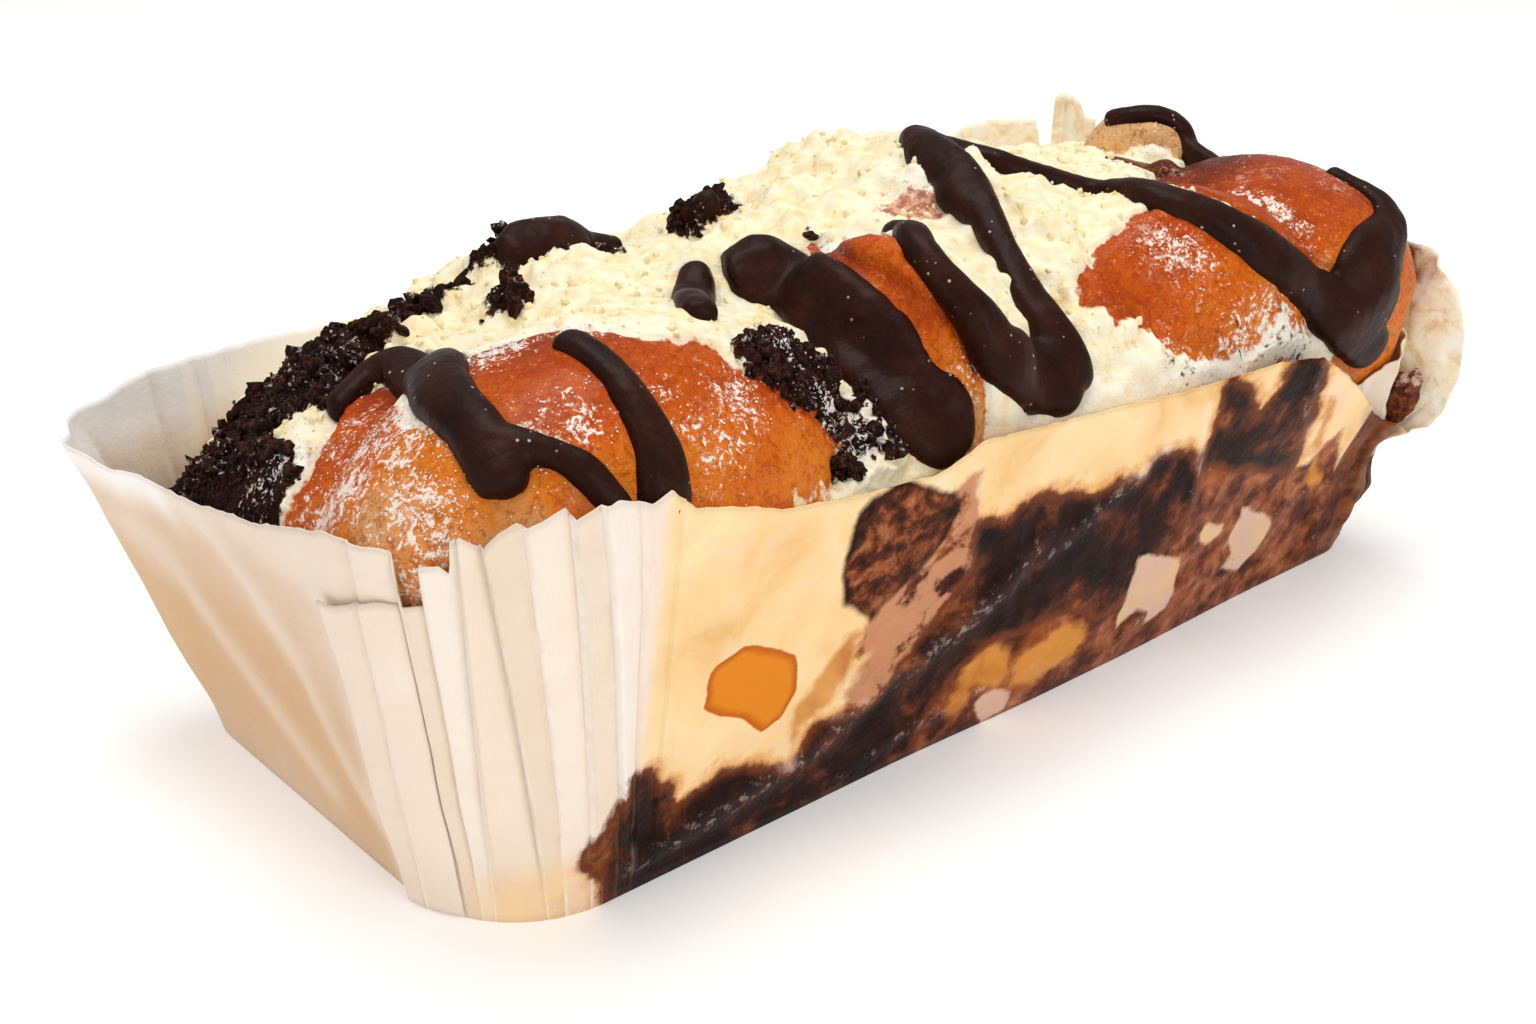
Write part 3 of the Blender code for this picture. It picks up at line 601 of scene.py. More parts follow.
class Finish:
    """A material in the making."""

    def __init__(self, name, roughness=0.5, **constants):
        self.material = bpy.data.materials.new(name)
        self.material.use_nodes = True
        self.tree = self.material.node_tree
        self.shader = self.tree.nodes["Principled BSDF"]
        self.shader.inputs["Roughness"].default_value = roughness
        for socket, value in constants.items():
            self.shader.inputs[socket.replace("_", " ")].default_value = value
        place = self.node("ShaderNodeTexCoord", {}, {}, "Object")
        self.place = self.node("ShaderNodeVectorMath", {"operation": "SCALE"}, {0: place, 3: 1 / METRES})

    def node(self, kind, settings, values, out=0):
        """A node of any kind: its settings first, then the values or links of its sockets.

        A ramp's stops are one setting: the place and the colour of each.
        """
        made = self.tree.nodes.new(kind)
        for name, value in settings.items():
            if name == "stops":
                while len(made.color_ramp.elements) < len(value):
                    made.color_ramp.elements.new(0.5)
                for element, (position, colour) in zip(made.color_ramp.elements, value):
                    element.position = position
                    element.color = colour
            else:
                setattr(made, name, value)
        for name, value in values.items():
            self.connect(made.inputs[name], value)
        return Value(self, made.outputs[out])

    def connect(self, socket, value):
        if isinstance(value, Value):
            self.tree.links.new(value.socket, socket)
        else:
            socket.default_value = value

    def fact(self, name):
        """What the piece's mesh says about each point under this name."""
        return self.node("ShaderNodeAttribute", {"attribute_name": name}, {}, "Fac")

    def noise(self, size, detail=3.0, roughness=0.5, twist=0.0):
        """Noise from 0 to 1 in lumps of about this size in millimetres."""
        values = {"Vector": self.place, "Scale": 1 / size, "Detail": detail, "Roughness": roughness,
                  "Distortion": twist}
        return self.node("ShaderNodeTexNoise", {}, values, "Fac")

    def cells(self, size):
        """Distance from the middles of scattered cells of this size."""
        return self.node("ShaderNodeTexVoronoi", {}, {"Vector": self.place, "Scale": 1 / size}, "Distance")

    def blend(self, under, over, mask):
        """One colour laid over another where the mask says; a colour is a socket or red, green, blue."""
        under, over = (c if isinstance(c, Value) else tint(*c) for c in (under, over))
        return self.node("ShaderNodeMix", {"data_type": "RGBA"}, {0: mask, 6: under, 7: over}, 2)

    def layers(self, colour, *coats):
        """Colours laid over the first one in turn, each where its own mask says."""
        for over, mask in coats:
            colour = self.blend(colour, over, mask)
        return colour

    def ramp(self, value, *stops):
        """Colour by value: the place of each stop and its red, green and blue."""
        stops = [(place, tint(*colour)) for place, *colour in stops]
        return self.node("ShaderNodeValToRGB", {"stops": stops}, {0: value}, "Color")

    def relief(self, height, depth):
        """Bumps of this depth in millimetres."""
        values = {"Height": height, "Distance": depth * METRES, "Strength": 1.0}
        return self.node("ShaderNodeBump", {}, values)

    def done(self, **sockets):
        for name, value in sockets.items():
            self.connect(self.shader.inputs[name.replace("_", " ")], value)
        return self.material


def tint(red, green, blue):
    """A colour as a paint card gives it, from 0 to 255, in the light that shaders count in."""
    parts = [c / 255 for c in (red, green, blue)]
    return (*(c / 12.92 if c <= 0.04045 else ((c + 0.055) / 1.055) ** 2.4 for c in parts), 1.0)


def sifted_sugar(f):
    """Where fine sugar lies in drifts on dark crumb."""
    return f.noise(1.2, 5, 0.72).step(0.58, 0.64) * f.noise(8.0, 2, 0.5).step(0.46, 0.58)


def baked_finish():
    """Glazed crust, torn pale crumb and cocoa crumb, with sugar dusted over them; the crust has painted
    glints, a painted sheen and painted shade and highlight in its wrinkles, and crumb in shade gets painted
    light.
    """
    f = Finish("Baked loaf", Specular_IOR_Level=0.06, Coat_Roughness=0.2)
    fine = f.noise(0.7, 4, 0.6)
    small = f.noise(1.6, 4, 0.6)
    broad = f.noise(9.0, 3, 0.55)
    ragged = (small - 0.5) * 3.0 + (fine - 0.5) * 1.6
    crust = (f.fact("crust") + ragged * 0.5).step(-0.25, 0.25)
    cocoa = (f.fact("cocoa") + ragged).step(-0.3, 0.3)
    pale = (f.fact("pale") + ragged * 0.8).step(-0.3, 0.3)
    dust = f.fact("dust")

    toasted = f.cells(4.5).step(0.13, 0.05) * f.noise(11.0, 2, 0.5).step(0.52, 0.62)
    smear = (f.fact("smear") + ragged * 1.4).step(-0.2, 0.6)
    crumb = f.layers(
        f.ramp(f.noise(3.0, 5, 0.62), (0.28, 242, 210, 150), (0.40, 252, 232, 184), (0.54, 255, 246, 214)),
        ((240, 226, 214), f.noise(14.0, 2, 0.5).step(0.60, 0.75) * 0.45),
        ((238, 172, 66), toasted * 0.8),
        # Whiter crumb where sugar lies, and painted light on crumb in shade along the front edge.
        ((255, 252, 244), dust * 0.85),
        (f.blend((226, 160, 128), (166, 62, 32), small.step(0.44, 0.58)), smear * 0.85),
    )
    filling = f.ramp(fine * 0.55 + small * 0.45, (0.36, 10, 3, 2), (0.52, 38, 15, 10), (0.70, 92, 50, 35))
    filling = f.blend(filling, (232, 214, 200), sifted_sugar(f) * 0.85)

    bake = f.fact("bake") * 0.8 + 0.2 + (broad - 0.5) * 0.45 + (small - 0.5) * 0.2
    wrinkle = f.noise(1.5, 5, 0.68, 1.2)
    # Pinkish-white flecks on the crust: painted highlights, glints off the glaze.
    glint_flecks = (f.noise(0.9, 6, 0.76, 0.8) + (f.noise(8.0, 2, 0.5) - 0.5) * 0.5).step(0.62, 0.68)
    glazed = f.layers(
        f.ramp(bake, (0.0, 230, 180, 122), (0.22, 226, 126, 26), (0.46, 208, 90, 8), (0.70, 170, 60, 3),
               (1.0, 82, 25, 6)),
        # Darker in the wrinkles' hollows and lighter on their crests: painted shade and painted highlight
        # of the wrinkled glaze.
        ((146, 44, 5), wrinkle.step(0.50, 0.38) * 0.5),
        ((238, 150, 84), wrinkle.step(0.56, 0.70) * 0.5),
        ((250, 206, 184), glint_flecks * 0.45),
    )

    sieve = f.noise(2.0, 6, 0.76, 1.0) * 0.72 + f.noise(0.6, 3, 0.6) * 0.28
    powder = (sieve + dust * 0.23 - 0.680).step(0.0, 0.04) * dust.step(0.03, 0.3)
    # A pinkish veil over the crust within the dusted spots: a painted sheen.
    sheen_veil = (sieve + dust * 0.25 - 0.640).step(0.0, 0.10) * dust.step(0.03, 0.3)
    colour = f.layers(
        crumb,
        (filling, cocoa * (1 - pale)),
        (glazed, crust * (1 - pale)),
        ((228, 156, 114), sheen_veil * crust * 0.55),
        ((250, 240, 230), powder * 0.92),
    )
    gloss = crust * (1 - pale) * (1 - powder)
    rough = 0.78 - gloss * 0.42 + (fine - 0.5) * gloss * 0.25
    soft = f.relief(f.noise(2.2, 5, 0.65), 0.6)
    blister = f.relief(wrinkle * 0.6 + f.noise(0.45, 2, 0.5) * 0.4, 0.6)
    bump = f.node("ShaderNodeMix", {"data_type": "VECTOR"}, {0: gloss, 4: soft, 5: blister}, 1)
    return f.done(Base_Color=colour, Roughness=rough, Coat_Weight=gloss * 0.15, Normal=bump)


def icing_finish():
    """Dark chocolate that set with a satin skin, with pale flecks painted on as sparkle highlights."""
    f = Finish("Chocolate icing", Specular_IOR_Level=0.09)
    broad = f.noise(7.0, 3, 0.5)
    fine = f.noise(0.6, 4, 0.6)
    colour = f.ramp(broad * 0.7 + fine * 0.3, (0.30, 28, 9, 4), (0.55, 47, 21, 12), (0.75, 64, 34, 22))
    # Pale flecks in the icing: painted sparkle highlights, a little rougher than the rest.
    sugar = f.cells(1.9).step(0.15, 0.07) * f.noise(8.0, 2, 0.5).step(0.50, 0.62)
    colour = f.blend(colour, (205, 188, 176), sugar * 0.8)
    bump = f.relief(broad * 0.5 + f.noise(2.0, 3, 0.5) * 0.4 + fine * 0.1, 0.45)
    return f.done(Base_Color=colour, Roughness=0.40 + (fine - 0.5) * 0.25 + sugar * 0.2, Normal=bump)


def paper_finish():
    """Greaseproof paper: dry and white where it stands free, see-through with fat against the loaf. It
    carries painted highlights and shadow lines at its creases and folds, and painted light and shade on its
    walls and corners.
    """
    f = Finish("Greaseproof paper", Specular_IOR_Level=0.04)
    fine = f.noise(0.8, 4, 0.55)
    small = f.noise(2.6, 3, 0.55, 0.1)
    middle = f.noise(5.5, 4, 0.60, 0.15)
    broad = f.noise(16.0, 4, 0.55, 0.6)
    drift = (small - 0.5) * 3.4 + (fine - 0.5) * 0.9
    soft = (small - 0.5) * 2.0

    # Pale cream, mottled, on the folded-out wing and the far back corner: painted light where they stand in
    # shade.
    crumpled_and_lit = f.ramp(f.noise(4.5, 5, 0.6, 0.8), (0.36, 232, 204, 160), (0.50, 254, 240, 204),
                      (0.62, 255, 252, 236))
    dry = f.layers(
        f.ramp(broad * 0.45 + f.fact("panel") * 0.55, (0.15, 230, 210, 186), (0.5, 241, 224, 206),
               (0.8, 246, 236, 225)),
        ((214, 172, 124), (f.fact("tan") + (broad - 0.5) * 0.5).step(0.0, 1.0) * 0.85),
        # Near white where the paper is bare and dry, and painted light on walls that stand in shade.
        ((255, 251, 246), f.fact("bare") * 0.95),
        (crumpled_and_lit, f.fact("wing") * 0.95),
    )
    fat = f.ramp(broad, (0.25, 230, 178, 108), (0.45, 246, 206, 148), (0.70, 253, 224, 174))
    fat = f.blend(fat, (238, 212, 184), f.noise(9.0, 5, 0.65).step(0.52, 0.68) * 0.45)
    grease = (f.fact("grease") + (broad - 0.5) * 0.6).step(0.2, 0.8)

    toffee = f.ramp(middle * 0.7 + small * 0.3, (0.32, 46, 18, 11), (0.43, 92, 42, 24), (0.52, 136, 74, 44),
                    (0.62, 174, 108, 72), (0.74, 212, 156, 116))
    toffee = f.blend(toffee, (168, 84, 28), f.noise(13.0, 3, 0.5).step(0.54, 0.66) * 0.55)
    caramel, halo = ((f.fact(name) + drift).step(-0.9, 0.9) for name in ("caramel", "halo"))
    facet = (f.fact("facet") + soft).step(-0.8, 0.8)

    swirl = f.fact("swirl")
    roll = f.ramp(f.noise(5.5, 5, 0.66, 0.3) + swirl * 0.006, (0.40, 34, 15, 9), (0.50, 82, 38, 20),
                  (0.58, 142, 76, 40), (0.68, 180, 118, 84))
    roll = f.blend(roll, (44, 20, 13), (swirl + soft).step(1.6, 0.2) * 0.6)
    turned = (swirl + soft * 0.6).step(-0.6, 0.6)

    filling = f.fact("cocoa")
    dark = f.ramp(f.noise(9.0, 5, 0.6, 0.3) - filling * 0.012 + 0.03, (0.32, 18, 6, 4), (0.47, 46, 20, 13),
                  (0.57, 96, 48, 25), (0.68, 154, 84, 42))
    dark = f.blend(dark, (30, 12, 9), small.step(0.52, 0.42) * 0.5)
    cocoa = filling + drift * 0.7
    ochre = (f.fact("ochre") + soft * 1.6).step(-0.8, 1.4)
    pale = (f.fact("pale") + drift * 0.5).step(-0.5, 0.5)
    amber = f.fact("amber") + (small - 0.5) * 0.5
    specks = f.cells(7.0).step(0.05, 0.02) * f.noise(20.0, 2, 0.5).step(0.52, 0.6) * grease

    stained = caramel.larger(cocoa.step(0.0, 1.0)).larger(turned).larger(facet).larger(halo)
    line, ridge = f.fact("line"), f.fact("ridge")
    glints = ridge * stained * f.noise(1.8, 4, 0.65).step(0.54, 0.64)
    # Thin lines by each pleat's crease, broken up by noise: a painted shadow behind the crease and a
    # painted highlight before it.
    patchy = f.noise(6.0, 4, 0.6).step(0.35, 0.65)
    crease_shadow = line.step(-0.9, -0.05) * line.step(0.1, -0.05) * patchy
    before = line.step(0.0, 0.12) * line.step(0.7, 0.3) * patchy
    colour = f.layers(
        dry,
        (fat, grease),
        ((222, 142, 64), (filling + drift * 1.4).step(-2.6, 0.0) * grease * 0.7),
        (f.blend(toffee, (208, 148, 108), middle.step(0.38, 0.52) * 0.8), halo),
        (toffee, caramel),
        # Filling seen through the facet past the far corner's fold, darkened: painted shade on a face
        # turned from the light.
        (f.blend(toffee, (64, 34, 20), 0.45), facet),
        (roll, turned),
        (f.blend((190, 106, 34), (222, 150, 64), broad.step(0.35, 0.6)), ochre * 0.85),
        ((112, 56, 30), cocoa.step(-0.8, 0.4)),
        (dark, cocoa.step(0.1, 2.2)),
        (f.blend((234, 198, 150), (228, 190, 168), broad.step(0.4, 0.6)), pale * 0.88),
        ((196, 98, 14), amber.step(-0.25, 0.1)),
        ((226, 134, 30), amber.step(0.15, 1.6)),
        ((150, 92, 50), specks * 0.7),
        # Painted light: glints along the folds over the stain, a painted shadow line behind each crease,
        # and painted highlights along the creases and the folds' ridges on dry paper.
        ((214, 186, 170), glints * 0.4),
        ((196, 166, 132), crease_shadow * 0.25),
        ((254, 248, 240), (before * 0.5 + ridge * 0.3) * ((1 - stained) * 0.95 + 0.05)),
    )
    wet = grease.larger(stained)
    bump = f.relief(broad * 0.5 + small * 0.35 + fine * 0.15, 0.5)
    return f.done(Base_Color=colour, Roughness=0.50 - wet * 0.16 + (fine - 0.5) * 0.16, Normal=bump)


def crumb_finish(name, dark, middle, light, depth=0.25, sugar=0.0):
    """Loose crumbs in three shades, with bumps of this depth and this much sugar on them."""
    f = Finish(name, 0.8, Specular_IOR_Level=0.12)
    mottle = f.noise(0.9, 4, 0.6)
    colour = f.ramp(mottle, (0.32, *dark), (0.5, *middle), (0.68, *light))
    if sugar:
        colour = f.blend(colour, (232, 214, 200), sifted_sugar(f) * sugar)
    return f.done(Base_Color=colour, Normal=f.relief(mottle, depth))


def lump_finish():
    """Toffee-brown filling, frosted with sugar on top."""
    f = Finish("Loose filling", 0.75, Specular_IOR_Level=0.12)
    mottle = f.noise(1.3, 5, 0.65)
    colour = f.ramp(mottle, (0.3, 48, 18, 10), (0.5, 104, 48, 26), (0.7, 150, 84, 52))
    frost = (f.fact("frosted") * 0.5 + f.noise(1.6, 5, 0.7)).step(0.72, 0.86)
    colour = f.blend(colour, (226, 190, 172), frost * 0.85)
    return f.done(Base_Color=colour, Normal=f.relief(mottle, 0.5))


def strand_height(x, y, strand):
    """Height of one rounded strand of dough, and far below the floor off it."""
    middle, (long, short), turn, top, foot = strand
    s, t = along_and_across(x, y, middle, turn)
    r = np.abs(s / long) ** 2.3 + np.abs(t / short) ** 2.3
    return np.where(r < 1, foot + (top - foot) * np.sqrt(np.maximum(0, 1 - r)), -1000.0)


def crumb_height(x, y):
    """Torn crumb under the strands: a crown line that falls to the edges, and lower still at the back."""
    along = np.clip(np.where(x < 0, x / NEAR_TOP, x / FAR_TOP), 0, 1)
    across = np.clip(np.where(y < 0, y / FRONT_TOP, y / BACK_TOP), 0, 1)
    crown = np.interp(x, *zip(*CROWN))
    edge = EDGE_NEAR + (EDGE_FAR - EDGE_NEAR) * smooth_step(-20, 60, x)
    fall = (1 - across ** 2.3) ** 0.62 * (1 - along ** 9) ** 0.5
    slope = 18 * smooth_step(-50, -98, x) * smooth_step(0, 42, y)
    slope += 4 * smooth_step(-72, -100, x) * smooth_step(-12, 14, y)
    slope += 9 * smooth_step(35, 75, x) * smooth_step(4, 34, y)
    return edge + (crown - edge) * fall - slope


def loaf_height(x, y):
    """Height of the loaf's top in plan, its relief left flat."""
    height = crumb_height(x, y)
    for strand in STRANDS.values():
        height = smooth_max(height, strand_height(x, y, strand), 2.0)
    return height


def strand_share(x, y):
    """1 on a smooth strand of dough, 0 on torn crumb."""
    best = np.max([strand_height(x, y, strand) for strand in STRANDS.values()], axis=0)
    return smooth_step(-1.0, 1.5, best - crumb_height(x, y))


def rounded_base(x, y):
    """Points of the rounded base and their outward directions, for points on the sharp rectangle."""
    near_radius = np.where(y < 0, NEAR_FRONT_RADIUS, NEAR_BACK_RADIUS)
    radius = np.where(x < 0, near_radius, FAR_RADIUS)
    middle = np.stack((np.clip(x, NEAR_END + radius, FAR_END - radius),
                       np.clip(y, radius - HALF_WIDTH, HALF_WIDTH - radius)), -1)
    outward = np.stack((x, y), -1) - middle
    outward /= np.hypot(outward[:, 0], outward[:, 1])[:, None]
    return middle + outward * radius[:, None], outward


def lean(outward):
    """How far the paper leans out for each millimetre of height, in each outward direction."""
    end = np.where(outward[:, 0] > 0, LEAN_FAR, LEAN_NEAR)
    side = np.where(outward[:, 1] > 0, LEAN_BACK, LEAN_FRONT)
    return end * outward[:, 0] ** 2 + side * outward[:, 1] ** 2


def lumps(x, y):
    """Rise of the lumps of filling, which the strands of dough cover."""
    rise = 0.0
    for cx, cy, radius, high in LUMPS:
        rise = rise + high * smooth_step(1.0, 0.4, np.hypot(x - cx, y - cy) / radius)
    return rise * (1 - strand_share(x, y))


def loaf_edge(u, v):
    """Foot and top edge of the loaf in each direction (u, v) of the unit square."""
    base, outward = rounded_base((NEAR_END + FAR_END) / 2 + u * LENGTH / 2, v * HALF_WIDTH)
    height = np.full(len(u), EDGE_NEAR)
    # The walls lean, so the edge's place and its height are found in turns
    for _ in range(4):
        plan = base + outward * (lean(outward) * height - ROOM)[:, None]
        height = np.minimum((height + loaf_height(plan[:, 0], plan[:, 1])) / 2, RIM_LEVEL)
    plan = base + outward * (lean(outward) * height - ROOM)[:, None]
    return base - outward * ROOM, plan, height


def finer_at_ends(count, power=1.5):
    """Places from -1 to 1 that lie closer together towards both ends."""
    even = np.linspace(-1, 1, count)
    return np.sign(even) * (1 - (1 - np.abs(even)) ** power)


def loaf_top(long, across):
    """Points of a net over the loaf's top, how far out each one is, and the foot below its edge."""
    v, u = (a.ravel() for a in np.meshgrid(finer_at_ends(across), finer_at_ends(long), indexing="ij"))
    ring = np.maximum(np.maximum(np.abs(u), np.abs(v)), 1e-6)
    foot, edge, height = loaf_edge(u / ring, v / ring)
    plan = edge * ring[:, None]
    top = loaf_height(plan[:, 0], plan[:, 1]) + lumps(plan[:, 0], plan[:, 1])
    return np.column_stack((plan, np.where(ring > 1 - 1e-5, height, top))), ring, foot


def add_walls(points, foot, long, across, levels):
    """The loaf's walls and base added under a net over its top: all points and all faces."""
    faces = net(across, long)
    index = np.arange(across * long).reshape(across, long)
    rim = np.concatenate((index[0, :-1], index[:-1, -1], index[-1, :0:-1], index[:0:-1, 0]))
    start = len(points)
    rows = [points]
    above = rim
    for level in range(1, levels + 1):
        # Rows lie closer together below the rim than at the foot
        low = (level / levels) ** 1.6
        rows.append(points[rim] * (1 - low) + np.column_stack((foot[rim], np.full(len(rim), ROOM))) * low)
        below = np.arange(start, start + len(rim))
        faces += np.column_stack((above, below, np.roll(below, -1), np.roll(above, -1))).tolist()
        above = below
        start += len(rim)
    faces.append(above[::-1].tolist())
    return np.concatenate(rows), faces


def facing_of(points, long, across):
    """Outward directions at the points of the net over the loaf's top."""
    grid = points.reshape(across, long, 3)
    facing = np.cross(np.gradient(grid, axis=1), np.gradient(grid, axis=0)).reshape(-1, 3)
    return facing / np.maximum(np.linalg.norm(facing, axis=1), 1e-9)[:, None]


def top_relief(points, ring, facts):
    """Relief of the loaf's top: crags of pale and cocoa crumb, blisters and creases of the crust."""
    share = 1 - strand_share(points[:, 0], points[:, 1])
    crags = 2.0 * (grain(points, CRAG) + 0.5 * grain(points, CRAG / 2.1)) * share
    crust = smooth_step(-0.6, 0.8, facts["crust"]) * smooth_step(0.4, -0.4, facts["pale"])
    cocoa = smooth_step(-0.6, 0.6, facts["cocoa"]) * (1 - crust)
    torn = 0.85 * grain(points, 3.6, 5) + 0.45 * np.abs(grain(points, 2.0, 9))
    torn += 0.15 * grain(points, 1.1, 3)
    rough = 1.3 * grain(points, 4.2, 11) + 1.2 * np.abs(grain(points, 2.0, 2))
    rough += 0.6 * grain(points, 1.0, 7)
    blister = grains(points, (0.35, 9.0, 4), (0.12, 2.6, 6))
    step = 0.7 * smooth_step(-0.2, 1.6, facts["crust"]) - 0.5
    groove = -0.6 * ridge_of(facts["crust"], 0.7)
    crease = -sum(deep * ridge_of(distance_to_line(points, line), width) for deep, width, line in CREASED)
    relief = crust * (blister + step + crease) + groove
    relief += (crags + torn) * (1 - crust - cocoa)
    relief += (crags + rough) * cocoa
    return relief * smooth_step(1.0, 0.95, ring)


def loaf_facts(points):
    """What lies where on the loaf: crust, cocoa crumb, pale crumb over them, sugar with painted sheen and
    painted light, and browning with painted shade in the creases.
    """
    places = points[:, :2]
    moved = places + (wander(points, 4.0, 20, 1.1) + wander(points, 1.6, 40, 0.6))
    x, y = places.T
    browning_and_shade = np.full(len(places), 0.5)
    browning_and_shade += 0.35 * smooth_step(-30, -20, y) - 0.35 * smooth_step(-40, -47, y)
    browning_and_shade -= 0.42 * smooth_step(-76, -86, x) + 0.2 * smooth_step(-88, -97, x)
    browning_and_shade -= 0.25 * smooth_step(-24, -18, x) * smooth_step(0, -4, x)
    browning_and_shade += 0.35 * smooth_step(70, 80, x) * smooth_step(-24, -12, y)
    browning_and_shade += 0.55 * smooth_step(-1.5, 1.5, depth_inside(moved, CRUST["seam"]))
    browning_and_shade -= 1.5 * smooth_step(-3.0, -1.0, depth_inside(moved, CRUST["back"]))
    # Darker along the creases of the middle strand: browning there, and painted shade in the creases.
    for _, _, crease in CREASED:
        browning_and_shade += 0.3 * ridge_of(distance_to_line(moved, crease), 0.8)
    specks = np.minimum(depth_in_any(moved, SPECKLED), 0.3) - SPECK_DEPTH
    return {
        "crust": depth_in_any(moved, CRUST),
        "cocoa": np.maximum(depth_in_any(moved, COCOA), specks),
        "pale": depth_in_any(moved, PALE),
        "smear": depth_in_any(moved, SMEARED),
        "dust": spread(places, SUGAR_AND_PAINTED_LIGHT),
        "bake": browning_and_shade,
    }


def make_loaf(finish, long=480, across=270, wall_levels=24):
    """The loaf, and the facts and points of its top for the crumbs that lie there."""
    points, ring, foot = loaf_top(long, across)
    facts = loaf_facts(points)
    points = points + top_relief(points, ring, facts)[:, None] * facing_of(points, long, across)
    whole, faces = add_walls(points, foot, long, across, wall_levels)
    walls = loaf_facts(whole[len(points):])
    all_facts = {name: np.concatenate((facts[name], walls[name])) for name in facts}
    return make_piece("babka_loaf", whole, faces, finish, all_facts), facts, points


def smooth_surface(long=150, across=84, wall_levels=8):
    """The loaf's broad shape alone, for the icing to lie on."""
    points, _, foot = loaf_top(long, across)
    points, faces = add_walls(points, foot, long, across, wall_levels)
    return BVHTree.FromPolygons(points.tolist(), faces)


def band_path(points):
    """Points of a smooth curve through a band's own points."""
    ends = [points[0], *points, points[-1]]
    path = []
    for i in range(len(points) - 1):
        a, b, c, d = (Vector(p) for p in ends[i:i + 4])
        steps = max(1, round((c - b).length / BAND_STEP))
        for t in (j / steps for j in range(steps)):
            path.append(0.5 * (2 * b + (c - a) * t + (2 * a - 5 * b + 4 * c - d) * t ** 2
                               + (3 * b - a - 3 * c + d) * t ** 3))
    path.append(Vector(points[-1]))
    return path


def band_section(corners=18):
    """Corners of a band's cross-section: how far to the side, and how high."""
    turns = [2 * math.pi * i / corners for i in range(corners)]
    return [(math.copysign(abs(math.cos(t)) ** 0.75, math.cos(t)),
             math.copysign(abs(math.sin(t)) ** 0.72, math.sin(t))) for t in turns]


def band_points(points, surface, reach=3):
    """Corners of a band's rings on the surface: the band narrows at both ends and sinks into dips.

    The way ahead and the way up are taken from the rings within reach.
    """
    spots = [(*surface.find_nearest(p.to_3d())[:2], p.w) for p in band_path(points)]
    count = len(spots) - 1
    rings = []
    for i, (spot, _, width) in enumerate(spots):
        low, high = max(i - reach, 0), min(i + reach, count)
        ahead = (spots[high][0] - spots[low][0]).normalized()
        facing = sum((spots[j][1] for j in range(low, high + 1)), Vector())
        across = facing.cross(ahead).normalized()
        end = min(1.0, min(i, count - i) * BAND_STEP / (width * 0.5))
        round_end = math.sqrt(1 - (1 - end) ** 2)
        half = width / 2 * (0.12 + 0.88 * round_end)
        sides = [surface.find_nearest(spot + across * half * side)[1] for side in (-1, -0.5, 0, 0.5, 1)]
        facing = sum(sides, Vector())
        facing = (facing - ahead * facing.dot(ahead)).normalized()
        across = facing.cross(ahead).normalized()
        for side, level in band_section():
            flat = spot + across * half * side
            dip = (surface.find_nearest(flat)[0] - flat).dot(facing)
            dip = min(max(dip, -BAND_DIP), BAND_DIP / 2)
            thick = BAND_RISE * min(1.0, 0.25 + width / 9) * (0.35 + 0.65 * round_end)
            up = level * (thick if level > 0 else BAND_ROOT)
            rings.append(flat + facing * (dip + up - BAND_SET))
    return rings


def make_icing(finish):
    """All bands of icing, run together where they meet."""
    surface = smooth_surface()
    corners = len(band_section())
    points, faces = [], []
    for band in BANDS.values():
        rings = band_points(band, surface)
        rows = len(rings) // corners
        start = len(points)
        faces += [[start + i for i in face] for face in net(rows, corners, closed=True)]
        faces.append([start + i for i in range(corners)][::-1])
        faces.append([start + (rows - 1) * corners + i for i in range(corners)])
        points += [tuple(p) for p in rings]
    icing = make_piece("icing_bands", np.array(points), faces, finish)
    remesh = icing.modifiers.new("Run together", "REMESH")
    remesh.mode = "VOXEL"
    remesh.voxel_size = ICING_VOXEL * METRES
    soften = icing.modifiers.new("Set", "SMOOTH")
    soften.iterations = 10
    soften.factor = 0.5
    apply_modifiers(icing)
    corners = icing.data.vertices
    places, facing = np.zeros(3 * len(corners)), np.zeros(3 * len(corners))
    corners.foreach_get("co", places)
    corners.foreach_get("normal", facing)
    places, facing = places.reshape(-1, 3) / METRES, facing.reshape(-1, 3)
    uneven = grains(places, (0.28, 5.5, 0), (0.10, 1.9, 0))
    corners.foreach_set("co", ((places + facing * uneven[:, None]) * METRES).ravel())
    icing.data.update()
    icing.data.shade_smooth()
    return icing


def lump_shape(detail):
    """Corners and faces of a ball of half size 1, for crumbs and the loose lump."""
    ball = bmesh.new()
    bmesh.ops.create_icosphere(ball, subdivisions=detail, radius=1.0)
    corners = np.array([v.co[:] for v in ball.verts])
    faces = np.array([[v.index for v in f.verts] for f in ball.faces])
    ball.free()
    return corners, faces


def scatter(name, spots, sizes, finish, detail=2, uneven=0.6):
    """Crumbs of one kind at these spots, as one piece."""
    corners, faces = lump_shape(detail)
    points, all_faces = [], []
    for i, (spot, size) in enumerate(zip(spots, sizes)):
        angle = RANDOM.uniform(0, 6.28)
        turn = np.array(Matrix.Rotation(angle, 3, Vector(RANDOM.normal(size=3))))
        stretch = RANDOM.uniform(0.7, 1.25, 3)
        bumps = 1 + uneven * (grain(corners + i * 7.3, 0.9) + 0.5 * grain(corners + i * 7.3, 0.4))
        points.append((corners * bumps[:, None] * stretch * size) @ turn.T + spot)
        all_faces.append(faces + i * len(corners))
    return make_piece(name, np.concatenate(points), np.concatenate(all_faces).tolist(), finish)


def pick(weights, points, count):
    """Scattered places on the loaf's top, more of them where the weight is larger."""
    chosen = RANDOM.choice(len(weights), count, replace=False, p=weights / weights.sum())
    return points[chosen] + np.column_stack((RANDOM.uniform(-STRAY, STRAY, (count, 2)), np.zeros(count)))


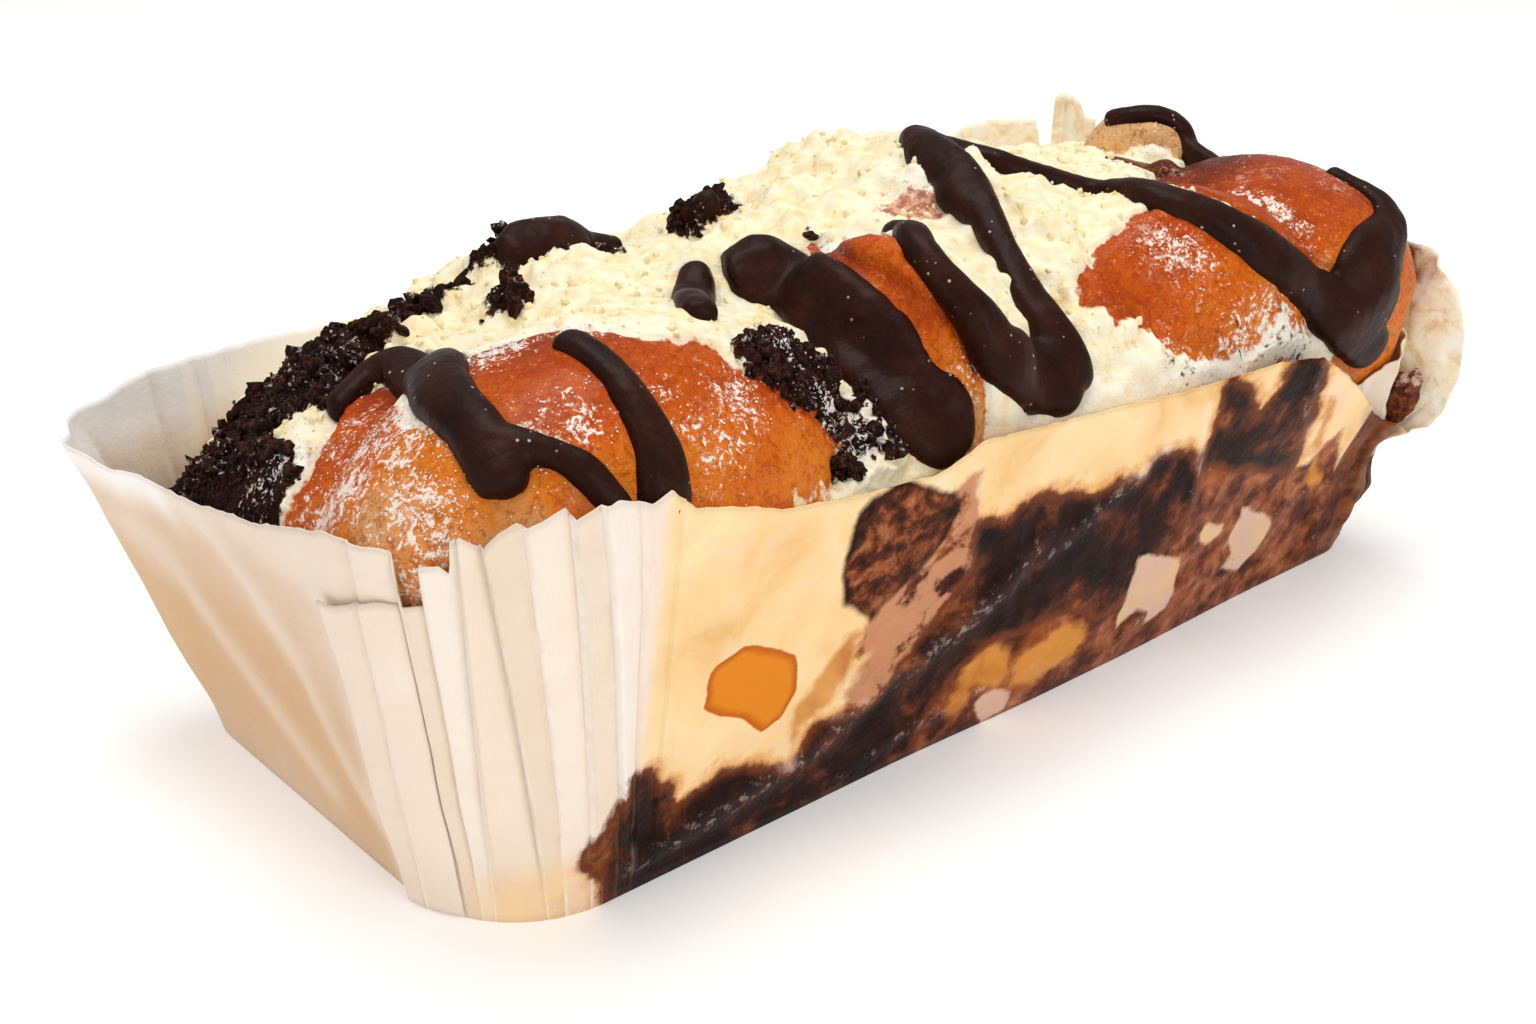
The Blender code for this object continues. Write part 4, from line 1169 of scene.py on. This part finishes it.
def make_crumbs(facts, points):
    """Loose cocoa crumbs, pale crumbs and grains of sugar on the loaf's top, each with its slot."""
    # Nothing lies close to the paper
    on_top = (np.abs(points[:, 1]) < 46) & (points[:, 0] > -93.5) & (points[:, 0] < 98)
    cocoa_weight = smooth_step(-0.8, 0.6, facts["cocoa"]) * smooth_step(0.4, -0.6, facts["crust"]) * on_top
    cocoa_weight *= 1 - 0.7 * facts["dust"]
    crumb_weight = smooth_step(0.2, -0.8, facts["cocoa"]) * smooth_step(0.2, -0.6, facts["crust"]) * on_top
    sugar_weight = facts["dust"] ** 3 * on_top

    finish = crumb_finish("Cocoa crumb", (8, 2, 1), (34, 14, 9), (84, 45, 32), 0.25, 0.8)
    sizes = RANDOM.uniform(0.1, 1.0, COCOA_CRUMBS) ** 3.0 * 1.3 + 0.18
    spots = pick(cocoa_weight, points, COCOA_CRUMBS)
    cocoa = scatter("cocoa_crumbs", spots, sizes, finish, uneven=0.9)

    finish = crumb_finish("Pale crumb", (244, 214, 156), (253, 236, 190), (255, 247, 216))
    sizes = RANDOM.uniform(0.1, 1.0, PALE_CRUMBS) ** 2.4 * 0.75 + 0.2
    spots = pick(crumb_weight, points, PALE_CRUMBS)
    pale = scatter("pale_crumbs", spots, sizes * 0.8, finish)

    finish = crumb_finish("Sugar", (236, 222, 210), (246, 238, 230), (252, 248, 244), 0.1)
    spots = pick(sugar_weight, points, SUGAR_GRAINS)
    sizes = RANDOM.uniform(0.07, 0.17, SUGAR_GRAINS)
    sugar = scatter("sugar_grains", spots, sizes, finish, detail=1)
    return (cocoa, "chocolate"), (pale, "baked_dough"), (sugar, "baked_dough")


def make_lump(finish):
    """Loose lump of filling that lies in the folded-out corner."""
    corners, faces = lump_shape(5)
    bumps = 1 + 0.30 * grain(corners, 0.9) + 0.16 * grain(corners, 0.35) + 0.06 * grain(corners, 0.12)
    turn = np.array(Matrix.Rotation(0.35, 3, "X") @ Matrix.Rotation(0.25, 3, "Y"))
    shape = (corners * bumps[:, None] * LUMP_SIZES) @ turn.T
    frosted = smooth_step(-1.0, 4.0, shape[:, 2]) * 0.6
    return make_piece("loose_filling", shape + LUMP_AT, faces.tolist(), finish, {"frosted": frosted})


def walk(distance):
    """Points on the sharp rectangle after a walk from the near front corner."""
    d = distance % AROUND
    x = np.select([d < LENGTH, d < LENGTH + WIDTH, d < 2 * LENGTH + WIDTH],
                  [NEAR_END + d, FAR_END, FAR_END - (d - LENGTH - WIDTH)], NEAR_END)
    y = np.select([d < LENGTH, d < LENGTH + WIDTH, d < 2 * LENGTH + WIDTH],
                  [-HALF_WIDTH, d - LENGTH - HALF_WIDTH, HALF_WIDTH], HALF_WIDTH - (d - 2 * LENGTH - WIDTH))
    return x, y


def rim_at(distance):
    """How far the rim is folded out and how high it is, at each place of the walk."""
    rows = []
    start = 0.0
    for wall, length in ((RIM_FRONT, LENGTH), (RIM_FAR, WIDTH), (RIM_BACK, LENGTH), (RIM_NEAR, WIDTH)):
        rows += [(start + place, out, height) for place, out, height in wall]
        start += length
    rows.append((AROUND, *rows[0][1:]))
    places, *values = zip(*rows)
    return [np.interp(distance % AROUND, places, value) for value in values]


def front_pleats(distance, part):
    """Push of the front corner's pleats, a number for each panel, and the way past the next crease."""
    push = np.zeros(len(distance))
    panel = np.full(len(distance), 0.45)
    line = np.full(len(distance), -9.0)
    folds = np.array([foot + (rim - foot) * part for rim, foot, _ in CREASES])
    for i, (_, _, step) in enumerate(CREASES[:-1]):
        across = (distance - folds[i]) / (folds[i + 1] - folds[i])
        inside = (across >= 0) & (across < 1)
        rise = smooth_step(0.0, 0.10, across) * np.clip(1 - across, 0, 1) ** 0.8
        push += np.where(inside, step * rise, 0.0)
        panel = np.where(inside, (i * PANEL_STEP + 0.55) % 1, panel)
    # The last two creases are too faint for painted crease lines
    for fold in folds[:-2]:
        line = np.where(np.abs(distance - fold) < np.abs(line), distance - fold, line)
    return push, panel, line


def knife_pleats(distance, part):
    """The same for the pleats of every corner."""
    push, panel, line = front_pleats(distance, part)
    turned = distance % AROUND
    for start, end in PLEATED:
        inside = (turned > start) & (turned < end)
        across = (turned - start) / PLEAT_PITCH
        fade = np.clip(np.minimum(turned - start, end - turned) / PLEAT_PITCH, 0, 1)
        t = across % 1
        rise = np.where(t < PLEAT_VALLEY, 1 - t / PLEAT_VALLEY, (t - PLEAT_VALLEY) / (1 - PLEAT_VALLEY))
        push += np.where(inside, PLEAT_DEPTH * rise * fade, 0.0)
        panel = np.where(inside, (np.floor(across) * PANEL_STEP) % 1, panel)
        line = np.where(inside, (t + 0.5) % 1 * PLEAT_PITCH - PLEAT_PITCH / 2, line)
    return push * smooth_step(0.0, 0.35, part), panel, line


def follow_pleats(distance, part):
    """Places of the walk at each height for columns that slant with the pleats of the front corner."""
    start, end = SLANTED
    rims = [start, *(rim for rim, _, _ in CREASES), end]
    feet = [start, *(foot for _, foot, _ in CREASES), end]
    d = signed(distance)
    return d + (np.interp(d, rims, feet) - d) * np.where((d > start) & (d < end), 1 - part, 0.0)


def case_walk():
    """Places of the walk that get a column of paper, close together where it is pleated or torn."""
    places = []
    at = 0.0
    while at < AROUND:
        places.append(at)
        at += next((step for start, end, step in FINE_COLUMNS if start <= at < end), COLUMN_STEP)
    creases = np.array([rim % AROUND for rim, _, _ in CREASES])
    places = [place for place in places if np.min(np.abs(creases - place)) > COLUMN_GAP]
    return np.sort(np.concatenate((places, creases)))


def signed(distance):
    """The walk counted backwards, below zero, where that is the shorter way."""
    return np.where(distance > AROUND / 2, distance - AROUND, distance)


def show_through(d, z, soft, hung_back):
    """Filling that shows: outlines on the front wall, and patches of noise on the far and back walls.

    No outline shows where hung_back is large: off the front wall, and where its sheet is doubled.
    """
    front = np.column_stack((d + NEAR_END, z)) + wander(soft, 6.0, 15, 0.9)
    facts = {kind: depth_in_any(front, outlines) - hung_back for kind, outlines in SHOWS.items()}
    past_dry = np.where(d > 0, d - LENGTH, BACK_DRY_TO - d)
    covered = smooth_step(0, 6, past_dry) * smooth_step(44, 38, z)
    swirls = grain(soft, 21.0, 60) * 22 + grain(soft, 8.0, 70) * 7 - 3.5 - 0.10 * z
    toffee = grain(soft, 17.0, 80) * 20 + grain(soft, 7.0, 90) * 6 - 2.5 - 0.06 * z
    hidden = (d > LENGTH + 4) | (d < BACK_DRY_TO)
    facts["cocoa"] = np.where(hidden, swirls * covered - (1 - covered) * 6, facts["cocoa"])
    facts["caramel"] = np.where(hidden, toffee * covered - (1 - covered) * 4, facts["caramel"])
    return facts, hidden


def paper_facts(d, z, soft, outward, away, wing):
    """What shows on the paper: filling, fat, tanned stretches, bare stretches that are partly painted
    light, and the crumpled corners with painted light.
    """
    spot = np.column_stack((d, z))
    hung_back = np.where((outward[:, 1] < -0.05) & (np.abs(away) < 0.2), 0.0, 30.0)
    facts, hidden = show_through(d, z, soft, hung_back)
    streak = 0.4 - distance_to_line(spot, STREAK) + 1.6 * grain(soft, 2.6, 33)
    facts["caramel"] = np.where(away == 0, np.maximum(facts["caramel"], streak), facts["caramel"])
    soaked = hidden * smooth_step(50, 42, z) * np.where(d > 0, 1.0, smooth_step(-2, 22, BACK_DRY_TO - d))
    foot = 0.6 * smooth_step(18, 6, z) * smooth_step(-25, 5, d) * smooth_step(190, 180, d)
    grease = np.maximum(np.maximum(span(18, 26, 183, 187, d), soaked), foot)
    tanned = 0.45 + 0.6 * ridge_of(distance_to_line(spot, TANNED), 15)
    corner = smooth_step(34, 18, np.abs(np.abs(d) - LENGTH - WIDTH)) * smooth_step(46, 54, z)
    facts["tan"] = span(-86, -78, -24, -16, d) * tanned * smooth_step(54, 44, z)
    # Whiter up the hidden walls and the left of the near wall: bare dry paper, and painted light where the
    # inner walls stand in shade.
    facts["bare"] = np.maximum(hidden, smooth_step(-56, -64, d)) * smooth_step(40, 48, z)
    facts["wing"] = np.maximum(wing * smooth_step(22, 30, z), 0.85 * corner)
    facts["grease"] = grease * (hung_back < 1) + soaked
    return facts


def hang_paper(distance, part, low, high, folded_out, away):
    """Points of a sheet of paper against the loaf, and what shows on them.

    The distance is the walk along the case, the part is the way from the low to the high edge, and
    away is how far the sheet stands off the loaf.
    """
    d = signed(distance)
    z = low + (high - low) * part
    base, outward = rounded_base(*walk(distance))
    share = z / np.maximum(high, 1e-6)
    waist = np.where(base[:, 0] > 0, WAIST, 0.0)
    fold = np.maximum(0, (z - waist) / (high - waist))
    bulge = 1.8 * smooth_step(-20, 15, base[:, 0]) * smooth_step(70, 30, base[:, 0])
    bulge *= np.maximum(0, -outward[:, 1]) ** 4 * np.sin(np.pi * np.clip(share + 0.15, 0, 1))
    push, panel, line = knife_pleats(d, share)
    soft = np.column_stack((base, z))
    firm = smooth_step(0.0, 0.12, share)
    wing = span(180, 184, 198, 206, d)
    crinkle = grains(soft, (0.35, 15.0, 0), (0.16, 5.0, 0)) * firm
    crinkle += wing * firm * (2.2 * np.abs(grain(soft, 8.0, 3)) + 0.8 * np.abs(grain(soft, 3.5, 8)))
    # Each fold lifts the paper, and its ridge gets a painted highlight.
    ridge = np.zeros(len(d))
    for path, width, rise in FOLDS:
        near = ridge_of(distance_to_line(np.column_stack((d, z)), path), width)
        crinkle += rise * near * firm
        ridge = np.maximum(ridge, near ** 3)
    out = lean(outward) * z + folded_out * fold + push + bulge + crinkle + away
    facts = paper_facts(d, z, soft, outward, away, wing)
    facts |= {"panel": panel, "line": line, "ridge": ridge * firm}
    return np.column_stack((base + outward * out[:, None], z)), facts


def make_case(finish, levels=52, laid_levels=40):
    """The paper case: its whole sheet, the pleat laid over the near wall and the one in the open corner."""
    walks = case_walk()
    distance, part = np.tile(walks, levels), np.repeat(np.linspace(0, 1, levels) ** 0.9, len(walks))
    still = np.zeros(len(distance))
    folded_out, rim = rim_at(distance)
    wing = span(181, 184, 199, 205, distance)
    along = np.column_stack((distance, still, still))
    rim = rim + (0.35 + 0.9 * wing) * grain(along, 2.2) - 2.4 * wing * np.abs(grain(along, 5.5, 12))
    points, facts = hang_paper(follow_pleats(distance, part), part, 0.0, rim, folded_out, still)
    faces = net(levels, len(walks), closed=True)
    faces.append(list(range(len(walks)))[::-1])

    even = np.linspace(0, 1, laid_levels)
    across, part = np.tile(even, laid_levels), np.repeat(even, laid_levels)
    still = np.zeros(len(across))
    for start, end, low, edge, (away_first, away_last) in PLEATS_LAID_ON:
        distance = start + (end - start) * across
        along = np.column_stack((distance, still, still))
        high = np.interp(distance, *zip(*edge)) + 0.3 * grain(along, 1.5)
        away = away_first + (away_last - away_first) * across
        more, more_facts = hang_paper(distance % AROUND, part, low, high, still, away)
        faces += [[len(points) + i for i in face] for face in net(laid_levels, laid_levels)]
        points = np.concatenate((points, more))
        facts = {kind: np.concatenate((values, more_facts[kind])) for kind, values in facts.items()}
    case = make_piece("paper_shell", points, faces, finish, facts)
    thick = case.modifiers.new("Paper thickness", "SOLIDIFY")
    thick.thickness = PAPER * METRES
    thick.offset = -1
    apply_modifiers(case)
    case.data.shade_smooth()
    return case


def make_stage():
    """A pale floor, a studio's even light round it and three soft boxes."""
    f = Finish("Pale floor", 0.6)
    stops = [(place, (grey, grey, grey, 1.0)) for place, grey in ((0.3, 0.93), (0.7, 0.95))]
    colour = f.node("ShaderNodeValToRGB", {"stops": stops}, {0: f.noise(400.0, 2, 0.5)}, "Color")
    floor = f.done(Base_Color=colour, Emission_Color=colour, Emission_Strength=0.3)
    size = 4000.0
    corners = np.array([(-size, -size, 0), (size, -size, 0), (size, size, 0), (-size, size, 0)], float)
    make_piece("floor", corners, [(0, 1, 2, 3)], floor)
    world = bpy.data.worlds.new("Studio")
    world.use_nodes = True
    world.node_tree.nodes["Background"].inputs["Color"].default_value = (1.0, 0.99, 0.975, 1.0)
    world.node_tree.nodes["Background"].inputs["Strength"].default_value = 0.45
    bpy.context.scene.world = world
    lights = (
        ("Soft box above", (0.05, 0.10, 0.85), (0.02, 0.0, 0.05), 0.6, 4.0),
        ("Soft box in front", (-0.05, -0.90, 0.45), (0.0, 0.0, 0.04), 0.5, 2.2),
        ("Soft box near end", (-0.90, -0.10, 0.45), (0.0, 0.0, 0.05), 0.5, 0.9),
    )
    for name, place, aim, size, power in lights:
        data = bpy.data.lights.new(name, "AREA")
        data.shape = "DISK"
        data.size = size
        data.energy = power
        lamp = bpy.data.objects.new(name, data)
        lamp.location = place
        lamp.rotation_euler = (Vector(aim) - Vector(place)).to_track_quat("-Z", "Y").to_euler()
        bpy.context.scene.collection.objects.link(lamp)


def make_camera():
    """The camera where the photo's own camera stood."""
    data = bpy.data.cameras.new("Camera")
    data.lens = 47.81
    data.sensor_width = 36.0
    data.sensor_fit = "HORIZONTAL"
    data.clip_start = 0.01
    camera = bpy.data.objects.new("Camera", data)
    camera.location = (EYE + ORIGIN) * METRES
    camera.rotation_euler = Vector(LOOK).to_track_quat("-Z", "Y").to_euler()
    bpy.context.scene.collection.objects.link(camera)
    bpy.context.scene.camera = camera


make_camera()
make_stage()
loaf, top_facts, top_points = make_loaf(baked_finish())
on_body(loaf, "baked_dough", "loaf")
on_body(make_icing(icing_finish()), "chocolate")
on_body(make_case(paper_finish()), "paper", "paper_case")
on_body(make_lump(lump_finish()), "chocolate", "chocolate_crumb")
for crumbs, slot in make_crumbs(top_facts, top_points):
    on_body(crumbs, slot)
bpy.context.scene.view_settings.view_transform = "Standard"
